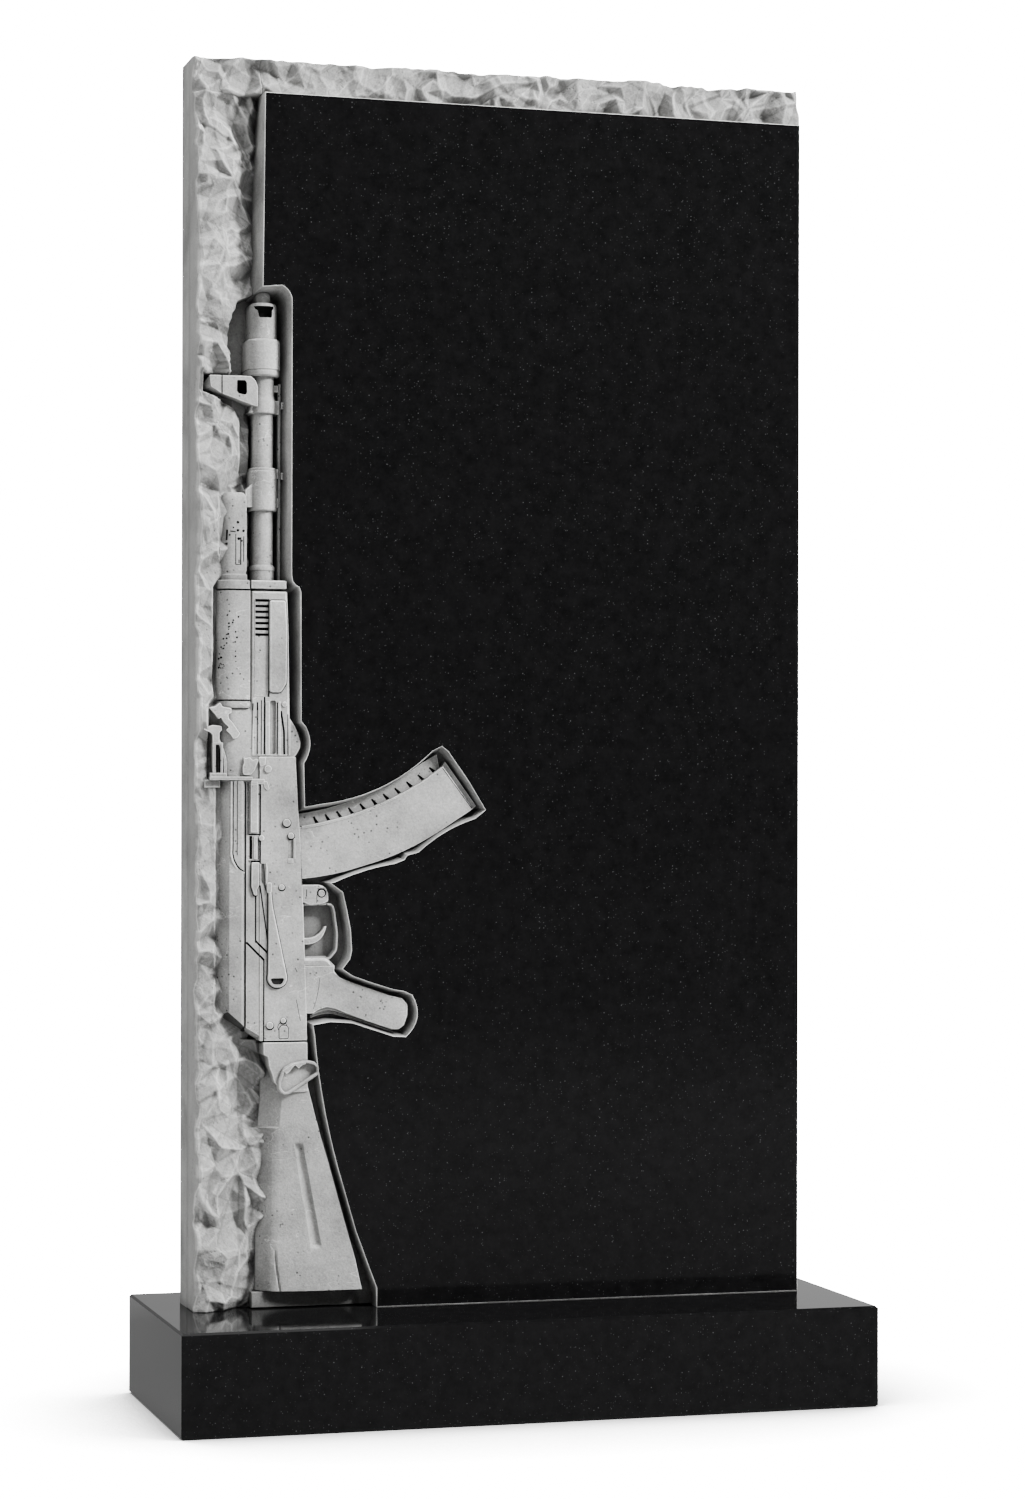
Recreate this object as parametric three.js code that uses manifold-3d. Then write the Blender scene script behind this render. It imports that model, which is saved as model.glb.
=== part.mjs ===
// A military grave memorial: an upright stone with a rifle carved in deep relief, on a plinth.
// Millimetres, +Z up, the polished face looks along -Y, and the origin is under the plinth's middle.
import * as THREE from 'three';
import { mergeVertices } from 'three/addons/utils/BufferGeometryUtils.js';
import Module from 'manifold-3d';

const wasm = await Module();
wasm.setup();

// Driving sizes of the plinth
const PLINTH_WIDTH = 672;
const PLINTH_DEPTH = 272;
const PLINTH_HEIGHT = 96;
const PLINTH_CHAMFER = 2;

// Driving sizes of the upright stone
const STELE_WIDTH = 600;
const STELE_HEIGHT = 1180;
const STELE_THICKNESS = 78;
const FRONT_LEDGE = 120;          // bare plinth in front of the stone

// Driving sizes of the rock-faced border
const SIDE_BORDER = 64;           // from the stone's left side to the polished panel
const TOP_BORDER = 35;            // from the polished panel to the stone's top
const BORDER_FRONT_DEPTH = 7;     // rock at the left side, behind the panel's face
const BORDER_FOOT_DEPTH = 40;     // rock where it meets the panel's wall
const CORNER_DEPTH = 25;          // rock at the top left corner
const STRIP_DEPTH = 11;           // rock at the top right corner

// Driving sizes of the carving
const RECESS_DEPTH = 44;          // the floor round the rifle, behind the panel's face
const CARVING_HEIGHT = 960;       // the muzzle above the plinth

// The rifle and its recess are drawn at this size, then brought to the driving sizes
const DRAWN_HEIGHT = 960;
const DRAWN_DEPTH = 44;
const ROOT_DEPTH = 50;            // how far the drawn carving reaches into the stone

// Cell and relief of the rock scallops
const SCALLOP_WIDTH = 27;
const SCALLOP_HEIGHT = 31;
const SCALLOP_RISE = 5;
const SCALLOP_TILT = 0.2;
const ROCK_STEP = 8;              // mesh step over the rock
const CLEARANCE = 12;             // how far a cutter reaches past the stone
const SMALLEST_DETAIL = 0.05;     // slivers thinner than this are closed up

const COLOURS = {
  worked: new THREE.Color(0xb9b8b6),
  polished: new THREE.Color(0x131314),
};

// Solids

function toManifold(geometry) {
  geometry.deleteAttribute('normal');
  geometry.deleteAttribute('uv');
  const merged = mergeVertices(geometry, 1e-4);
  return new wasm.Manifold(new wasm.Mesh({
    numProp: 3,
    vertProperties: new Float32Array(merged.attributes.position.array),
    triVerts: new Uint32Array(merged.index.array),
  }));
}

function toGeometry(solid) {
  const mesh = solid.getMesh();
  const geometry = new THREE.BufferGeometry();
  geometry.setAttribute('position', new THREE.BufferAttribute(new Float32Array(mesh.vertProperties), 3));
  geometry.setIndex(new THREE.BufferAttribute(new Uint32Array(mesh.triVerts), 1));
  geometry.computeVertexNormals();
  return geometry;
}

function fuse(solids) {
  return solids.reduce((whole, solid) => whole.add(solid));
}

// An outline seen from the front, carried back from the depth `front` to `back`
function block(points, front, back = ROOT_DEPTH, bevel = 0) {
  const shape = new THREE.Shape(points.map(([u, v]) => new THREE.Vector2(u, v)));
  const geometry = new THREE.ExtrudeGeometry(shape, {
    depth: back - front - 2 * bevel,
    bevelEnabled: bevel > 0,
    bevelThickness: bevel,
    bevelSize: bevel,
    bevelOffset: -bevel,
    bevelSegments: 1,
  });
  geometry.translate(0, 0, bevel - back);
  return toManifold(geometry);
}

function box(left, right, bottom, top, front, back = ROOT_DEPTH, bevel = 0) {
  return block([[left, bottom], [right, bottom], [right, top], [left, top]], front, back, bevel);
}

// A section of [across, depth] points carried up the stone
function bar(section, bottom, top) {
  const shape = new THREE.Shape(section.map(([u, depth]) => new THREE.Vector2(u, depth)));
  const geometry = new THREE.ExtrudeGeometry(shape, { depth: top - bottom, bevelEnabled: false });
  geometry.rotateX(-Math.PI / 2);
  geometry.translate(0, bottom, 0);
  return toManifold(geometry);
}

// A turned rod that runs up the stone, with straight sides from its axis back into the stone
function rod(across, depth, profile, sides = 16) {
  const outline = profile.map(([radius, height]) => new THREE.Vector2(radius, height));
  const geometry = new THREE.LatheGeometry(outline, sides);
  geometry.translate(across, 0, -depth);
  const turned = toManifold(geometry);
  const widest = Math.max(...profile.map(([radius]) => radius));
  const heights = profile.filter(([radius]) => radius > widest * 0.9).map(([, height]) => height);
  const web = box(across - widest, across + widest, Math.min(...heights), Math.max(...heights), depth);
  return turned.add(web);
}

function drum(across, depth, radius, bottom, top, chamfer = 1) {
  return rod(across, depth, [
    [0, bottom], [radius - chamfer, bottom], [radius, bottom + chamfer],
    [radius, top - chamfer], [radius - chamfer, top], [0, top],
  ]);
}

// A round boss that faces front
function boss(across, up, radius, front, back = ROOT_DEPTH) {
  return block(arc([across, up], [across + radius, up], 2 * Math.PI, 10).slice(0, -1), front, back);
}

// Points on an arc from `start` through the angle `turn` about `centre`
function arc(centre, start, turn, steps) {
  const from = Math.atan2(start[1] - centre[1], start[0] - centre[0]);
  const radius = Math.hypot(start[0] - centre[0], start[1] - centre[1]);
  return Array.from({ length: steps + 1 }, (_, i) => {
    const angle = from + (turn * i) / steps;
    return [centre[0] + radius * Math.cos(angle), centre[1] + radius * Math.sin(angle)];
  });
}

// Points on an arc between two points, bulging to the left of the way by `rise`
function bow(start, end, rise, steps) {
  const length = Math.hypot(end[0] - start[0], end[1] - start[1]);
  const along = [(end[0] - start[0]) / length, (end[1] - start[1]) / length];
  return Array.from({ length: steps + 1 }, (_, i) => {
    const share = i / steps;
    const lift = rise * 4 * share * (1 - share);
    return [
      start[0] + along[0] * length * share - along[1] * lift,
      start[1] + along[1] * length * share + along[0] * lift,
    ];
  });
}

function mix(a, b, share) {
  return a + (b - a) * Math.min(Math.max(share, 0), 1);
}

// Rock-faced border

function seededRandom(seed) {
  let state = seed;
  return () => {
    state = (Math.imul(state, 1664525) + 1013904223) >>> 0;
    return state / 4294967296;
  };
}

// One shallow bowl for each blow of the pitching chisel
function strikeScallops() {
  const random = seededRandom(7);
  const scallops = [];
  for (let v = -SCALLOP_HEIGHT; v < STELE_HEIGHT + SCALLOP_HEIGHT; v += SCALLOP_HEIGHT) {
    for (let u = -SCALLOP_WIDTH; u < STELE_WIDTH + SCALLOP_WIDTH; u += SCALLOP_WIDTH) {
      const scallop = {
        u: u + SCALLOP_WIDTH * random(),
        v: v + SCALLOP_HEIGHT * random(),
        sink: SCALLOP_RISE * random(),
        tiltU: SCALLOP_TILT * (2 * random() - 1),
        tiltV: SCALLOP_TILT * (2 * random() - 1),
        curve: 0.009 + 0.011 * random(),
      };
      if (u < SIDE_BORDER + SCALLOP_WIDTH || v > STELE_HEIGHT - TOP_BORDER - 2 * SCALLOP_HEIGHT) {
        scallops.push(scallop);
      }
    }
  }
  return scallops;
}

const SCALLOPS = strikeScallops();

// The rock is what is left after all the blows: the deepest bowl wins, so ridges stay between bowls
function rockDepth(u, v) {
  const relief = Math.max(...SCALLOPS.map((s) => {
    const du = u - s.u;
    const dv = v - s.v;
    return s.sink + s.tiltU * du + s.tiltV * dv - s.curve * (du * du + dv * dv);
  }));
  const nearTop = (v - (STELE_HEIGHT - 3 * TOP_BORDER)) / (3 * TOP_BORDER);
  const edge = mix(BORDER_FRONT_DEPTH, CORNER_DEPTH, nearTop);
  const side = mix(edge, BORDER_FOOT_DEPTH, (u / SIDE_BORDER) ** 2);
  const strip = mix(CORNER_DEPTH, STRIP_DEPTH, u / STELE_WIDTH);
  const base = v > STELE_HEIGHT - TOP_BORDER ? strip : side;
  return Math.min(Math.max(base + relief - SCALLOP_RISE / 2, 2), RECESS_DEPTH - 1);
}

// A block in front of the stone whose back is the rock surface
function rockCutter(left, right, bottom, top) {
  const width = right - left;
  const height = top - bottom;
  const across = Math.round(width / ROCK_STEP);
  const up = Math.round(height / ROCK_STEP);
  const geometry = new THREE.BoxGeometry(width, height, 1, across, up, 1);
  geometry.translate((left + right) / 2, (bottom + top) / 2, 0);
  const position = geometry.attributes.position;
  for (let i = 0; i < position.count; i += 1) {
    const back = position.getZ(i) < 0;
    const depth = back ? rockDepth(position.getX(i), position.getY(i)) : -CLEARANCE;
    position.setZ(i, -depth);
  }
  return toManifold(geometry);
}

// Carving: every function draws at the measured size, across from the stone's left side and up from its foot

const BARREL = { across: 67, depth: 22, radius: 9.6 };
const GAS_TUBE = { across: 38, depth: 22, radius: 12.9 };

function recess() {
  return block([
    ...arc([75, 950], [62, 962], -1.9, 5),
    [90, 950], [90, 692], [92, 683], [99, 679], [99.5, 554],
    ...bow([104, 549], [102, 515], 5, 5),
    [103, 473],
    ...bow([120, 476], [228, 527], -10, 6),
    [237, 531.5], [243, 527], [263, 499], [280, 471.5],
    ...bow([270, 463.6], [214, 431.4], -3.5, 3),
    [203, 428.5], [200, 424],
    ...bow([190, 420.5], [132, 403], -2, 3),
    [128, 402], [140, 393], [147.5, 358], [148, 335], [139.5, 320.5],
    [170, 306.4], [200, 298.6],
    ...bow([210, 293], [202, 256], 7, 4),
    [190, 256.7], [150, 270], [128.6, 271.4], [111.4, 268.6],
    ...bow([113, 258.6], [141.7, 113], -4, 5),
    [153.3, 73], [166.7, 37], [174, 18], [174, -CLEARANCE],
    [58, -CLEARANCE], [55, 20], [47, 45], [60, 80], [67, 111], [47, 157], [60, 182], [46, 210],
    [40, 260], [40, 760], [47, 775], [46, 810], [50, 842], [36, 885], [36, 920], [46, 950],
  ], -CLEARANCE, DRAWN_DEPTH);
}

function muzzle() {
  const { across, depth } = BARREL;
  return fuse([
    drum(across, depth, 16.2, 879.5, 914.5),
    drum(across, depth, 12.8, 914, 948.3),
    drum(across, depth, 6.3, 948, 959.5),
  ]).subtract(block([[57, 946], [59.5, 936], [73, 936], [75, 946]], 0, 18));
}

function barrel() {
  const { across, depth, radius } = BARREL;
  const cleaningRod = drum(across + 16, depth + 3, 1.7, 686, 880, 0.3);
  return fuse([
    drum(across, depth, radius, 640, 880),
    drum(across, depth, 12.3, 844.5, 879.7),
    drum(across, depth, 11, 697, 701),
    drum(across, depth, 13.3, 753, 792),
    box(across + 10, across + 14, 866, 872, depth),
    box(across + 10, across + 14, 844, 857, depth),
    box(across + 17, across + 20, 850, 856, depth),
    box(across + 11, across + 14, 757, 763, depth),
    box(across + 11, across + 14, 783, 789, depth),
    cleaningRod,
  ]);
}

function frontSight() {
  const face = 10;
  const tower = block([
    [12.5, 878.3], [50, 880], [55, 877], [57.8, 872], [57.5, 853.3],
    [53.5, 854.3], [22.7, 862.7], [13.4, 867.7],
  ], face, ROOT_DEPTH, 1);
  const groove = box(23.5, 25, 860, 885, face - 5, face + 2);
  const window = box(38, 48, 862, 874, face - 5, face + 12);
  return tower.subtract(groove).subtract(window);
}

function gasTube() {
  const { across, depth, radius } = GAS_TUBE;
  const tube = rod(across, depth, [
    [0, 686.5], [radius - 0.7, 686.5], [radius - 0.7, 692.5], [radius, 693],
    [radius, 764], [radius - 2, 769], [radius - 6, 772.5], [0, 773.5],
  ]);
  const slot = (left) => box(left, left + 1.6, 702, 734, 0, depth - radius + 3);
  const link = block([[50, 755.6], [60, 755.6], [60, 781], [48, 770.6]], 14);
  return tube.subtract(slot(across + 1.5)).subtract(slot(across + 5)).add(link);
}

function handguard() {
  const { across } = GAS_TUBE;
  const upper = fuse([
    drum(across, 20.5, 16.8, 574.5, 679.4, 3),
    drum(across + 0.5, 20.5, 15, 679, 686.5),
    drum(across, 20.5, 15.6, 560, 574.8),
    drum(across, 20.5, 16.4, 566.5, 573),
  ]);
  const lower = fuse([
    box(53.5, 89, 521, 678, 5.5, ROOT_DEPTH, 2.5),
    box(53.5, 86, 677, 685, 7, ROOT_DEPTH, 1),
    box(55, 69, 634, 673, 4, ROOT_DEPTH, 1),
    block([[70.5, 673], [70.5, 581], [80, 581], [86, 588], [86, 673]], 3.5, ROOT_DEPTH, 1),
    block([[88, 558], [93, 555], [98, 546], [101, 537], [98, 524], [93, 520], [88, 520]], 8),
    box(64, 70, 522, 573, 3.5),
    box(78.4, 81.5, 522, 573, 3.5),
    box(86.5, 88.7, 522, 560, 4.5),
    boss(84.8, 570, 2.5, 3.5),
  ]);
  const slots = [];
  for (let i = 0; i < 7; i += 1) {
    const bottom = 634 + 5.4 * i;
    slots.push(box(56, 69.5, bottom, bottom + 2.6, 0, 7));
  }
  slots.push(box(71, 77, 524, 572, 0, 10));
  slots.push(box(82.8, 86, 524, 566, 0, 9));
  [57, 60, 62].forEach((left) => slots.push(box(left, left + 1.1, 522, 573, 0, 7.5)));
  return upper.add(lower.subtract(fuse(slots)));
}

function rearSight() {
  const base = box(26, 60, 500, 562, 9, ROOT_DEPTH, 1.5);
  const lever = block([
    [16.5, 564], [22.8, 569], [24.7, 565.8], [32.8, 564.6], [32.8, 559.6], [29, 559],
    [32.2, 553.3], [41.5, 540.8], [34.9, 536.7], [27.2, 545.2], [30.9, 547.7], [23.4, 557], [20.9, 555],
  ], 3);
  const post = fuse([
    box(7, 23, 544, 549, 7),
    box(11, 18, 532, 545, 7),
    box(16.5, 25.5, 500, 533, 6),
  ]);
  const ledge = fuse([
    box(14, 54, 498, 501.5, 4),
    box(53.5, 66, 494, 499, 4),
    box(65, 69.5, 488, 495, 4),
    box(10, 24, 490, 498.5, 8),
    block([[44, 519], [51.5, 521], [60, 518], [60, 513], [52, 503], [45, 502.5]], 4),
    boss(68.8, 509, 3.4, 3.5),
  ]);
  return fuse([base, lever, post, ledge]).subtract(box(19.3, 22.8, 504, 532, 0, 13));
}

function receiver() {
  const { across } = GAS_TUBE;
  const cover = bar([
    [22.5, ROOT_DEPTH], [22.5, 19], [32, 5.5], [46, 2.5], [48, 5], [66, 5], [66, ROOT_DEPTH],
  ], 250, 501).intersect(block([
    [20, 281], [across - 6, 281], [48, 267], [66, 255], [66, 502], [20, 502],
  ], 0));
  const body = block([
    [61, 521], [95.5, 521], [98.4, 468], [101.3, 430], [107.4, 252], [65, 252], [61, 480],
  ], 4.5, ROOT_DEPTH, 1.5);
  const raised = fuse([
    box(52.5, 60.5, 447, 498, 2.5),
    box(54, 61, 390, 421, 2.5),
    block([[57.3, 390], [57.3, 346], [70.6, 333.5], [70.6, 390]], 4),
    block([...arc([78, 313], [69, 318], 3.3, 7), [71.5, 392], [69, 392]], 1.5, ROOT_DEPTH, 0.8),
    boss(70.3, 396, 5, 1.5),
    boss(86.8, 458, 3.5, 3),
    boss(90.4, 446, 2.8, 3),
    boss(82.4, 398, 2.6, 3),
    boss(71, 268, 3.3, 3),
    boss(83.9, 271.5, 2.5, 3),
    box(80, 87, 255, 266, 3),
  ]);
  const cuts = fuse([
    box(62, 66.7, 397, 420, 0, 12),
    box(51, 53.3, 424, 445, 0, 9),
    box(87, 93, 425, 441, 0, 7.5),
    box(71.5, 85, 306, 312, 0, 3.2),
  ]);
  return fuse([cover, body, raised]).subtract(cuts);
}

function magazine() {
  const face = block([
    ...bow([90, 405], [143, 412.4], -2, 2),
    ...bow([161.5, 417.8], [241.5, 454], -3.5, 3),
    [269.5, 472], [240, 513],
    ...bow([221, 498.6], [102, 454.7], 6.5, 6),
    [90, 454],
  ], 6, ROOT_DEPTH, 1.5);
  const shelf = block([
    [95, 453], [240, 512], [233, 527],
    ...bow([221.5, 517.4], [100, 467.8], 7.5, 6),
    [95, 467.5],
  ], 13);
  const basePlate = block([[238, 512], [268, 471], [273, 474.5], [240.5, 519]], 10);
  const notches = [];
  for (let i = 0; i < 11; i += 1) {
    const share = (i + 0.5) / 11;
    const across = 103 + 128 * share;
    const up = 459 + 20 * share + 32 * share * share;
    notches.push(boss(across, up, 2, 5, 17));
  }
  return fuse([face, shelf.subtract(fuse(notches)), basePlate]);
}

function trigger() {
  const strap = block([
    [100, 382.5], [133, 381.5], [134.5, 375], [138, 353], [137, 338], [128, 328], [100, 327],
  ], 9).subtract(block([
    [107, 379], [129.5, 378.5], [131, 374], [135.3, 353], [134.3, 340], [127, 331.5], [107, 330],
  ], 0, DRAWN_DEPTH));
  const front = block([[98, 400], [120, 400], [127.5, 393], [127.5, 384], [122, 381], [98, 380]], 7, ROOT_DEPTH, 1);
  const blade = block([[104, 346], [119, 345], [127.6, 360], [124, 361], [117, 349], [104, 350]], 12);
  return fuse([strap, front, boss(121.4, 392, 3.9, 5.5), blade]);
}

function grip() {
  const top = block([[104, 330], [125, 331], [133, 322], [136, 312], [104, 300]], 8, ROOT_DEPTH, 1);
  const handle = block([
    [104, 316], [134, 314.5], [151, 306.5], [187, 294.5], [199.5, 291], [204.5, 286],
    [204.5, 276], [200.5, 265], [195, 262.5], [171, 270], [132, 283], [104, 279],
  ], 5, ROOT_DEPTH, 2.5);
  return top.add(handle);
}

function stock() {
  const butt = block([
    [65.5, 253], [107.4, 253], [107.7, 212], [111, 198],
    ...bow([116, 180], [134, 117], -1.5, 2),
    [161, 18.5], [101, 17.3], [71, 15.5], [62.5, 18.5], [63.5, 171], [66, 200], [65.5, 230],
  ], 4, ROOT_DEPTH, 2.5);
  const groove = block([
    ...arc([99.5, 152], [103, 152.5], 3.0, 5),
    ...arc([116, 62], [111, 62], 3.0, 5),
  ], 0, 7.5);
  const loop = block([
    [84.3, 228], [98, 232.5], [111, 234], [116.5, 229], [117.5, 222], [88, 202], [82, 203],
    [78, 210], [79, 217],
  ], 0.5).subtract(block([
    [87.5, 222], [98, 227.5], [108, 228], [114, 224.5], [112, 220.5], [88, 207.5], [83, 209.5], [82.3, 214],
  ], -1, 7));
  return butt.subtract(groove).add(loop);
}

function carvedRifle() {
  return fuse([
    barrel(), muzzle(), frontSight(), gasTube(), handguard(), rearSight(),
    receiver(), magazine(), trigger(), grip(), stock(),
  ]);
}

// The two stones

function makeStele() {
  const face = CARVING_HEIGHT / DRAWN_HEIGHT;
  const scale = [face, face, RECESS_DEPTH / DRAWN_DEPTH];
  const slab = box(0, STELE_WIDTH, 0, STELE_HEIGHT, 0, STELE_THICKNESS);
  const sideRock = rockCutter(-CLEARANCE, SIDE_BORDER, -CLEARANCE, STELE_HEIGHT + CLEARANCE);
  const topRock = rockCutter(SIDE_BORDER - 1, STELE_WIDTH + CLEARANCE,
    STELE_HEIGHT - TOP_BORDER, STELE_HEIGHT + CLEARANCE);
  const stone = slab
    .subtract(sideRock)
    .subtract(topRock)
    .subtract(recess().scale(scale))
    .add(carvedRifle().scale(scale))
    .simplify(SMALLEST_DETAIL);
  const stele = new THREE.Mesh(toGeometry(stone), new THREE.MeshStandardMaterial({
    name: 'worked_stone', color: COLOURS.worked, roughness: 0.9, metalness: 0,
  }));
  stele.name = 'stele';
  stele.rotation.x = Math.PI / 2;
  stele.position.set(-STELE_WIDTH / 2, FRONT_LEDGE - PLINTH_DEPTH / 2, PLINTH_HEIGHT);
  return stele;
}

function makePlinth() {
  const half = [PLINTH_WIDTH / 2 - PLINTH_CHAMFER, PLINTH_DEPTH / 2 - PLINTH_CHAMFER];
  const shape = new THREE.Shape([
    new THREE.Vector2(-half[0], -half[1]), new THREE.Vector2(half[0], -half[1]),
    new THREE.Vector2(half[0], half[1]), new THREE.Vector2(-half[0], half[1]),
  ]);
  const geometry = new THREE.ExtrudeGeometry(shape, {
    depth: PLINTH_HEIGHT - 2 * PLINTH_CHAMFER,
    bevelThickness: PLINTH_CHAMFER,
    bevelSize: PLINTH_CHAMFER,
    bevelSegments: 1,
  });
  geometry.translate(0, 0, PLINTH_CHAMFER);
  const plinth = new THREE.Mesh(toGeometry(toManifold(geometry)), new THREE.MeshStandardMaterial({
    name: 'polished_stone', color: COLOURS.polished, roughness: 0.12, metalness: 0,
  }));
  plinth.name = 'plinth';
  return plinth;
}

const group = new THREE.Group();
group.add(makePlinth(), makeStele());

export default group;
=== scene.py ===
"""A military grave memorial: an upright stone with a rifle carved in deep relief, on a polished plinth.

Laid out as an add-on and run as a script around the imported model.
Every carved form is drawn in millimetres on the stone itself: `across` from the stone's left side,
`up` from its foot and `depth` behind the polished face. `on_stone` brings that to the frame's metres.
"""
import math

import bmesh
import bpy
import numpy as np
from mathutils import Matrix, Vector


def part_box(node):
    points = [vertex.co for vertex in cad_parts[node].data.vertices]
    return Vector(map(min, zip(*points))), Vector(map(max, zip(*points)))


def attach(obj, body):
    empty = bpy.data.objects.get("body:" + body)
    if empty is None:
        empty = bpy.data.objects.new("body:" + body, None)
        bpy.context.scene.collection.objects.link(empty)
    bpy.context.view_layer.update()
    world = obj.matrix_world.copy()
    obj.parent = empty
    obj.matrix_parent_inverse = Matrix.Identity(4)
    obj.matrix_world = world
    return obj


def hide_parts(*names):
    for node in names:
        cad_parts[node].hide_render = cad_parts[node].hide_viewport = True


bl_info = {
    "name": "Carved grave memorial",
    "version": (1, 0, 0),
    "blender": (4, 5, 0),
    "location": "3D View > Sidebar > Memorial",
    "description": "Finishes a packed grave memorial: rock border, polished panel and a rifle in deep relief",
    "category": "Add Mesh",
}

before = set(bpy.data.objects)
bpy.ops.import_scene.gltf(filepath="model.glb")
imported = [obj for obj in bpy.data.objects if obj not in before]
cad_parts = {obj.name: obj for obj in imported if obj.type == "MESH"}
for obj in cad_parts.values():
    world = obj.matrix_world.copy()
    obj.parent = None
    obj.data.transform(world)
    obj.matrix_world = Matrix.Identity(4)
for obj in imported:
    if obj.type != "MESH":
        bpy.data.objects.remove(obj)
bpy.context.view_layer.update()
STONE_LOW, STONE_HIGH = (np.array(corner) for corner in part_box("stele"))

MM = 0.001
WIDTH, THICKNESS, HEIGHT = (STONE_HIGH - STONE_LOW) / MM

# Sizes shared by the border, the panel and the carving, in millimetres
SIDE_BORDER = 64.0
TOP_BORDER = 35.0
RECESS_DEPTH = 44.0
ROOT = 47.0                # how far carved forms reach back, past the recess floor
BORDER_FRONT_DEPTH = 7.0
BORDER_FOOT_DEPTH = 40.0
CORNER_DEPTH = 25.0
STRIP_DEPTH = 11.0
COVER_FOOT = 262.0         # height where the receiver ends and the stock begins
RECESS_FLOOR_DEPTH = 18.0  # the grey floor that shows round the lower half of the rifle
BARREL_ACROSS, BARREL_DEPTH = 67.0, 22.0
TUBE_ACROSS, TUBE_DEPTH = 38.0, 22.0

WELD = 2e-6                # points of a form that lie closer than this, in metres, are made one
# Reach of the painted shade that darkens worked stone near crevices and close forms
CREVICE_SHADE_REACH = 0.014        # how near a crevice darkens the stone, in metres
BUMP_HEIGHT = 0.0012       # height of the fine grain, in metres
SPECK_COLOUR = (0.16, 0.16, 0.165, 1)
SOFT_LIGHT = (0.16, 0.16, 0.16, 1)
WHITE_SEEN = 24.0          # brightness at which the backdrop shows as plain white


# Settings that a user would change

class StoneSettings(bpy.types.PropertyGroup):
    polished_colour: bpy.props.FloatVectorProperty(
        name="Polished stone", description="Colour of the polished black stone",
        subtype="COLOR", size=3, min=0, max=1, default=(0.0052, 0.0052, 0.0054))
    worked_colour: bpy.props.FloatVectorProperty(
        name="Worked stone", description="Colour of the stone where the chisel left it grey",
        subtype="COLOR", size=3, min=0, max=1, default=(0.47, 0.47, 0.461))
    speck_share: bpy.props.FloatProperty(
        name="Specks", description="How strongly pale specks show in the polished stone",
        subtype="FACTOR", min=0, max=1, default=0.38)


class CarvingSettings(bpy.types.PropertyGroup):
    edge: bpy.props.FloatProperty(
        name="Edge", description="Rounding of the carved edges, in millimetres",
        min=0.2, max=3, default=0.9)
    rock_step: bpy.props.FloatProperty(
        name="Rock step", description="Spacing of the rock face's points, in millimetres",
        min=0.8, max=6, default=1.25)
    rock_grain: bpy.props.FloatProperty(
        name="Rock grain", description="Height of the small breaks on the rock face, in millimetres",
        min=0, max=2, default=0.13)


class StageSettings(bpy.types.PropertyGroup):
    floor_colour: bpy.props.FloatVectorProperty(
        name="Floor", description="Colour of the studio floor",
        subtype="COLOR", size=3, min=0, max=1, default=(0.4, 0.4, 0.4))
    key_power: bpy.props.FloatProperty(
        name="Key light", description="Power of the large soft lamp above the front",
        subtype="POWER", min=0, default=600.0)


# Numbers worked out as whole arrays

def points(*pairs):
    """Pairs of numbers as rows of an array."""
    return np.array(pairs, float)


def smoothstep(low, high, value):
    """Zero below low and one above high, with a smooth turn between."""
    share = np.clip((value - low) / (high - low), 0, 1)
    return share * share * (3 - 2 * share)


def bow(start, end, rise, steps=8):
    """A shallow arc between two points: the chord plus rise times 4 s (1 - s) to its left."""
    start, end = np.array(start, float), np.array(end, float)
    share = np.linspace(0, 1, steps + 1)[:, None]
    along = end - start
    left = np.array((-along[1], along[0])) / np.linalg.norm(along)
    return start + along * share + left * rise * 4 * share * (1 - share)


def circle(centre, radius, steps=20, start=0.0, turn=2 * math.pi):
    """Points round a centre; a full turn leaves out the repeated last point."""
    angle = start + turn * np.linspace(0, 1, steps, endpoint=abs(turn) < 6.28)
    return np.array(centre) + radius * np.column_stack((np.cos(angle), np.sin(angle)))


def soften(outline, radius, steps=4):
    """Rounds every corner of a closed outline with a quadratic curve that starts `radius` away."""
    outline = np.asarray(outline, float)
    before = np.roll(outline, 1, 0) - outline
    after = np.roll(outline, -1, 0) - outline
    far = np.linalg.norm(before, axis=1), np.linalg.norm(after, axis=1)
    reach = np.minimum(radius, 0.45 * np.minimum(*far))[:, None]
    start = outline + before / far[0][:, None] * reach
    end = outline + after / far[1][:, None] * reach
    t = np.linspace(0, 1, steps + 1)[None, :, None]
    curve = (1 - t) ** 2 * start[:, None] + 2 * t * (1 - t) * outline[:, None] + t ** 2 * end[:, None]
    return curve.reshape(-1, 2)


def anticlockwise(outline):
    """The outline turned round if its area, summed as a cross product, is negative."""
    x, y = outline[:, 0], outline[:, 1]
    area = np.sum(x * np.roll(y, -1) - np.roll(x, -1) * y)
    return outline if area > 0 else outline[::-1]


def shrink(outline, distance):
    """Moves each corner of an anticlockwise outline inward along its mitre. A segment that would turn
    over is drawn together to its middle instead."""
    ahead = np.roll(outline, -1, 0) - outline
    ahead /= np.maximum(np.linalg.norm(ahead, axis=1, keepdims=True), 1e-9)
    normal = np.column_stack((-ahead[:, 1], ahead[:, 0]))
    before = np.roll(normal, 1, 0)
    mitre = (normal + before) / np.maximum(1 + np.sum(normal * before, axis=1, keepdims=True), 0.5)
    moved = outline + mitre * np.reshape(distance, (-1, 1))
    for _ in range(8):
        following = np.roll(moved, -1, 0)
        folded = (np.sum((following - moved) * ahead, axis=1, keepdims=True) < -1e-6)
        middle = (moved + following) / 2
        moved = np.where(folded, middle, moved)
        moved = np.where(np.roll(folded, 1, 0), np.roll(middle, 1, 0), moved)
    return moved


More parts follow.
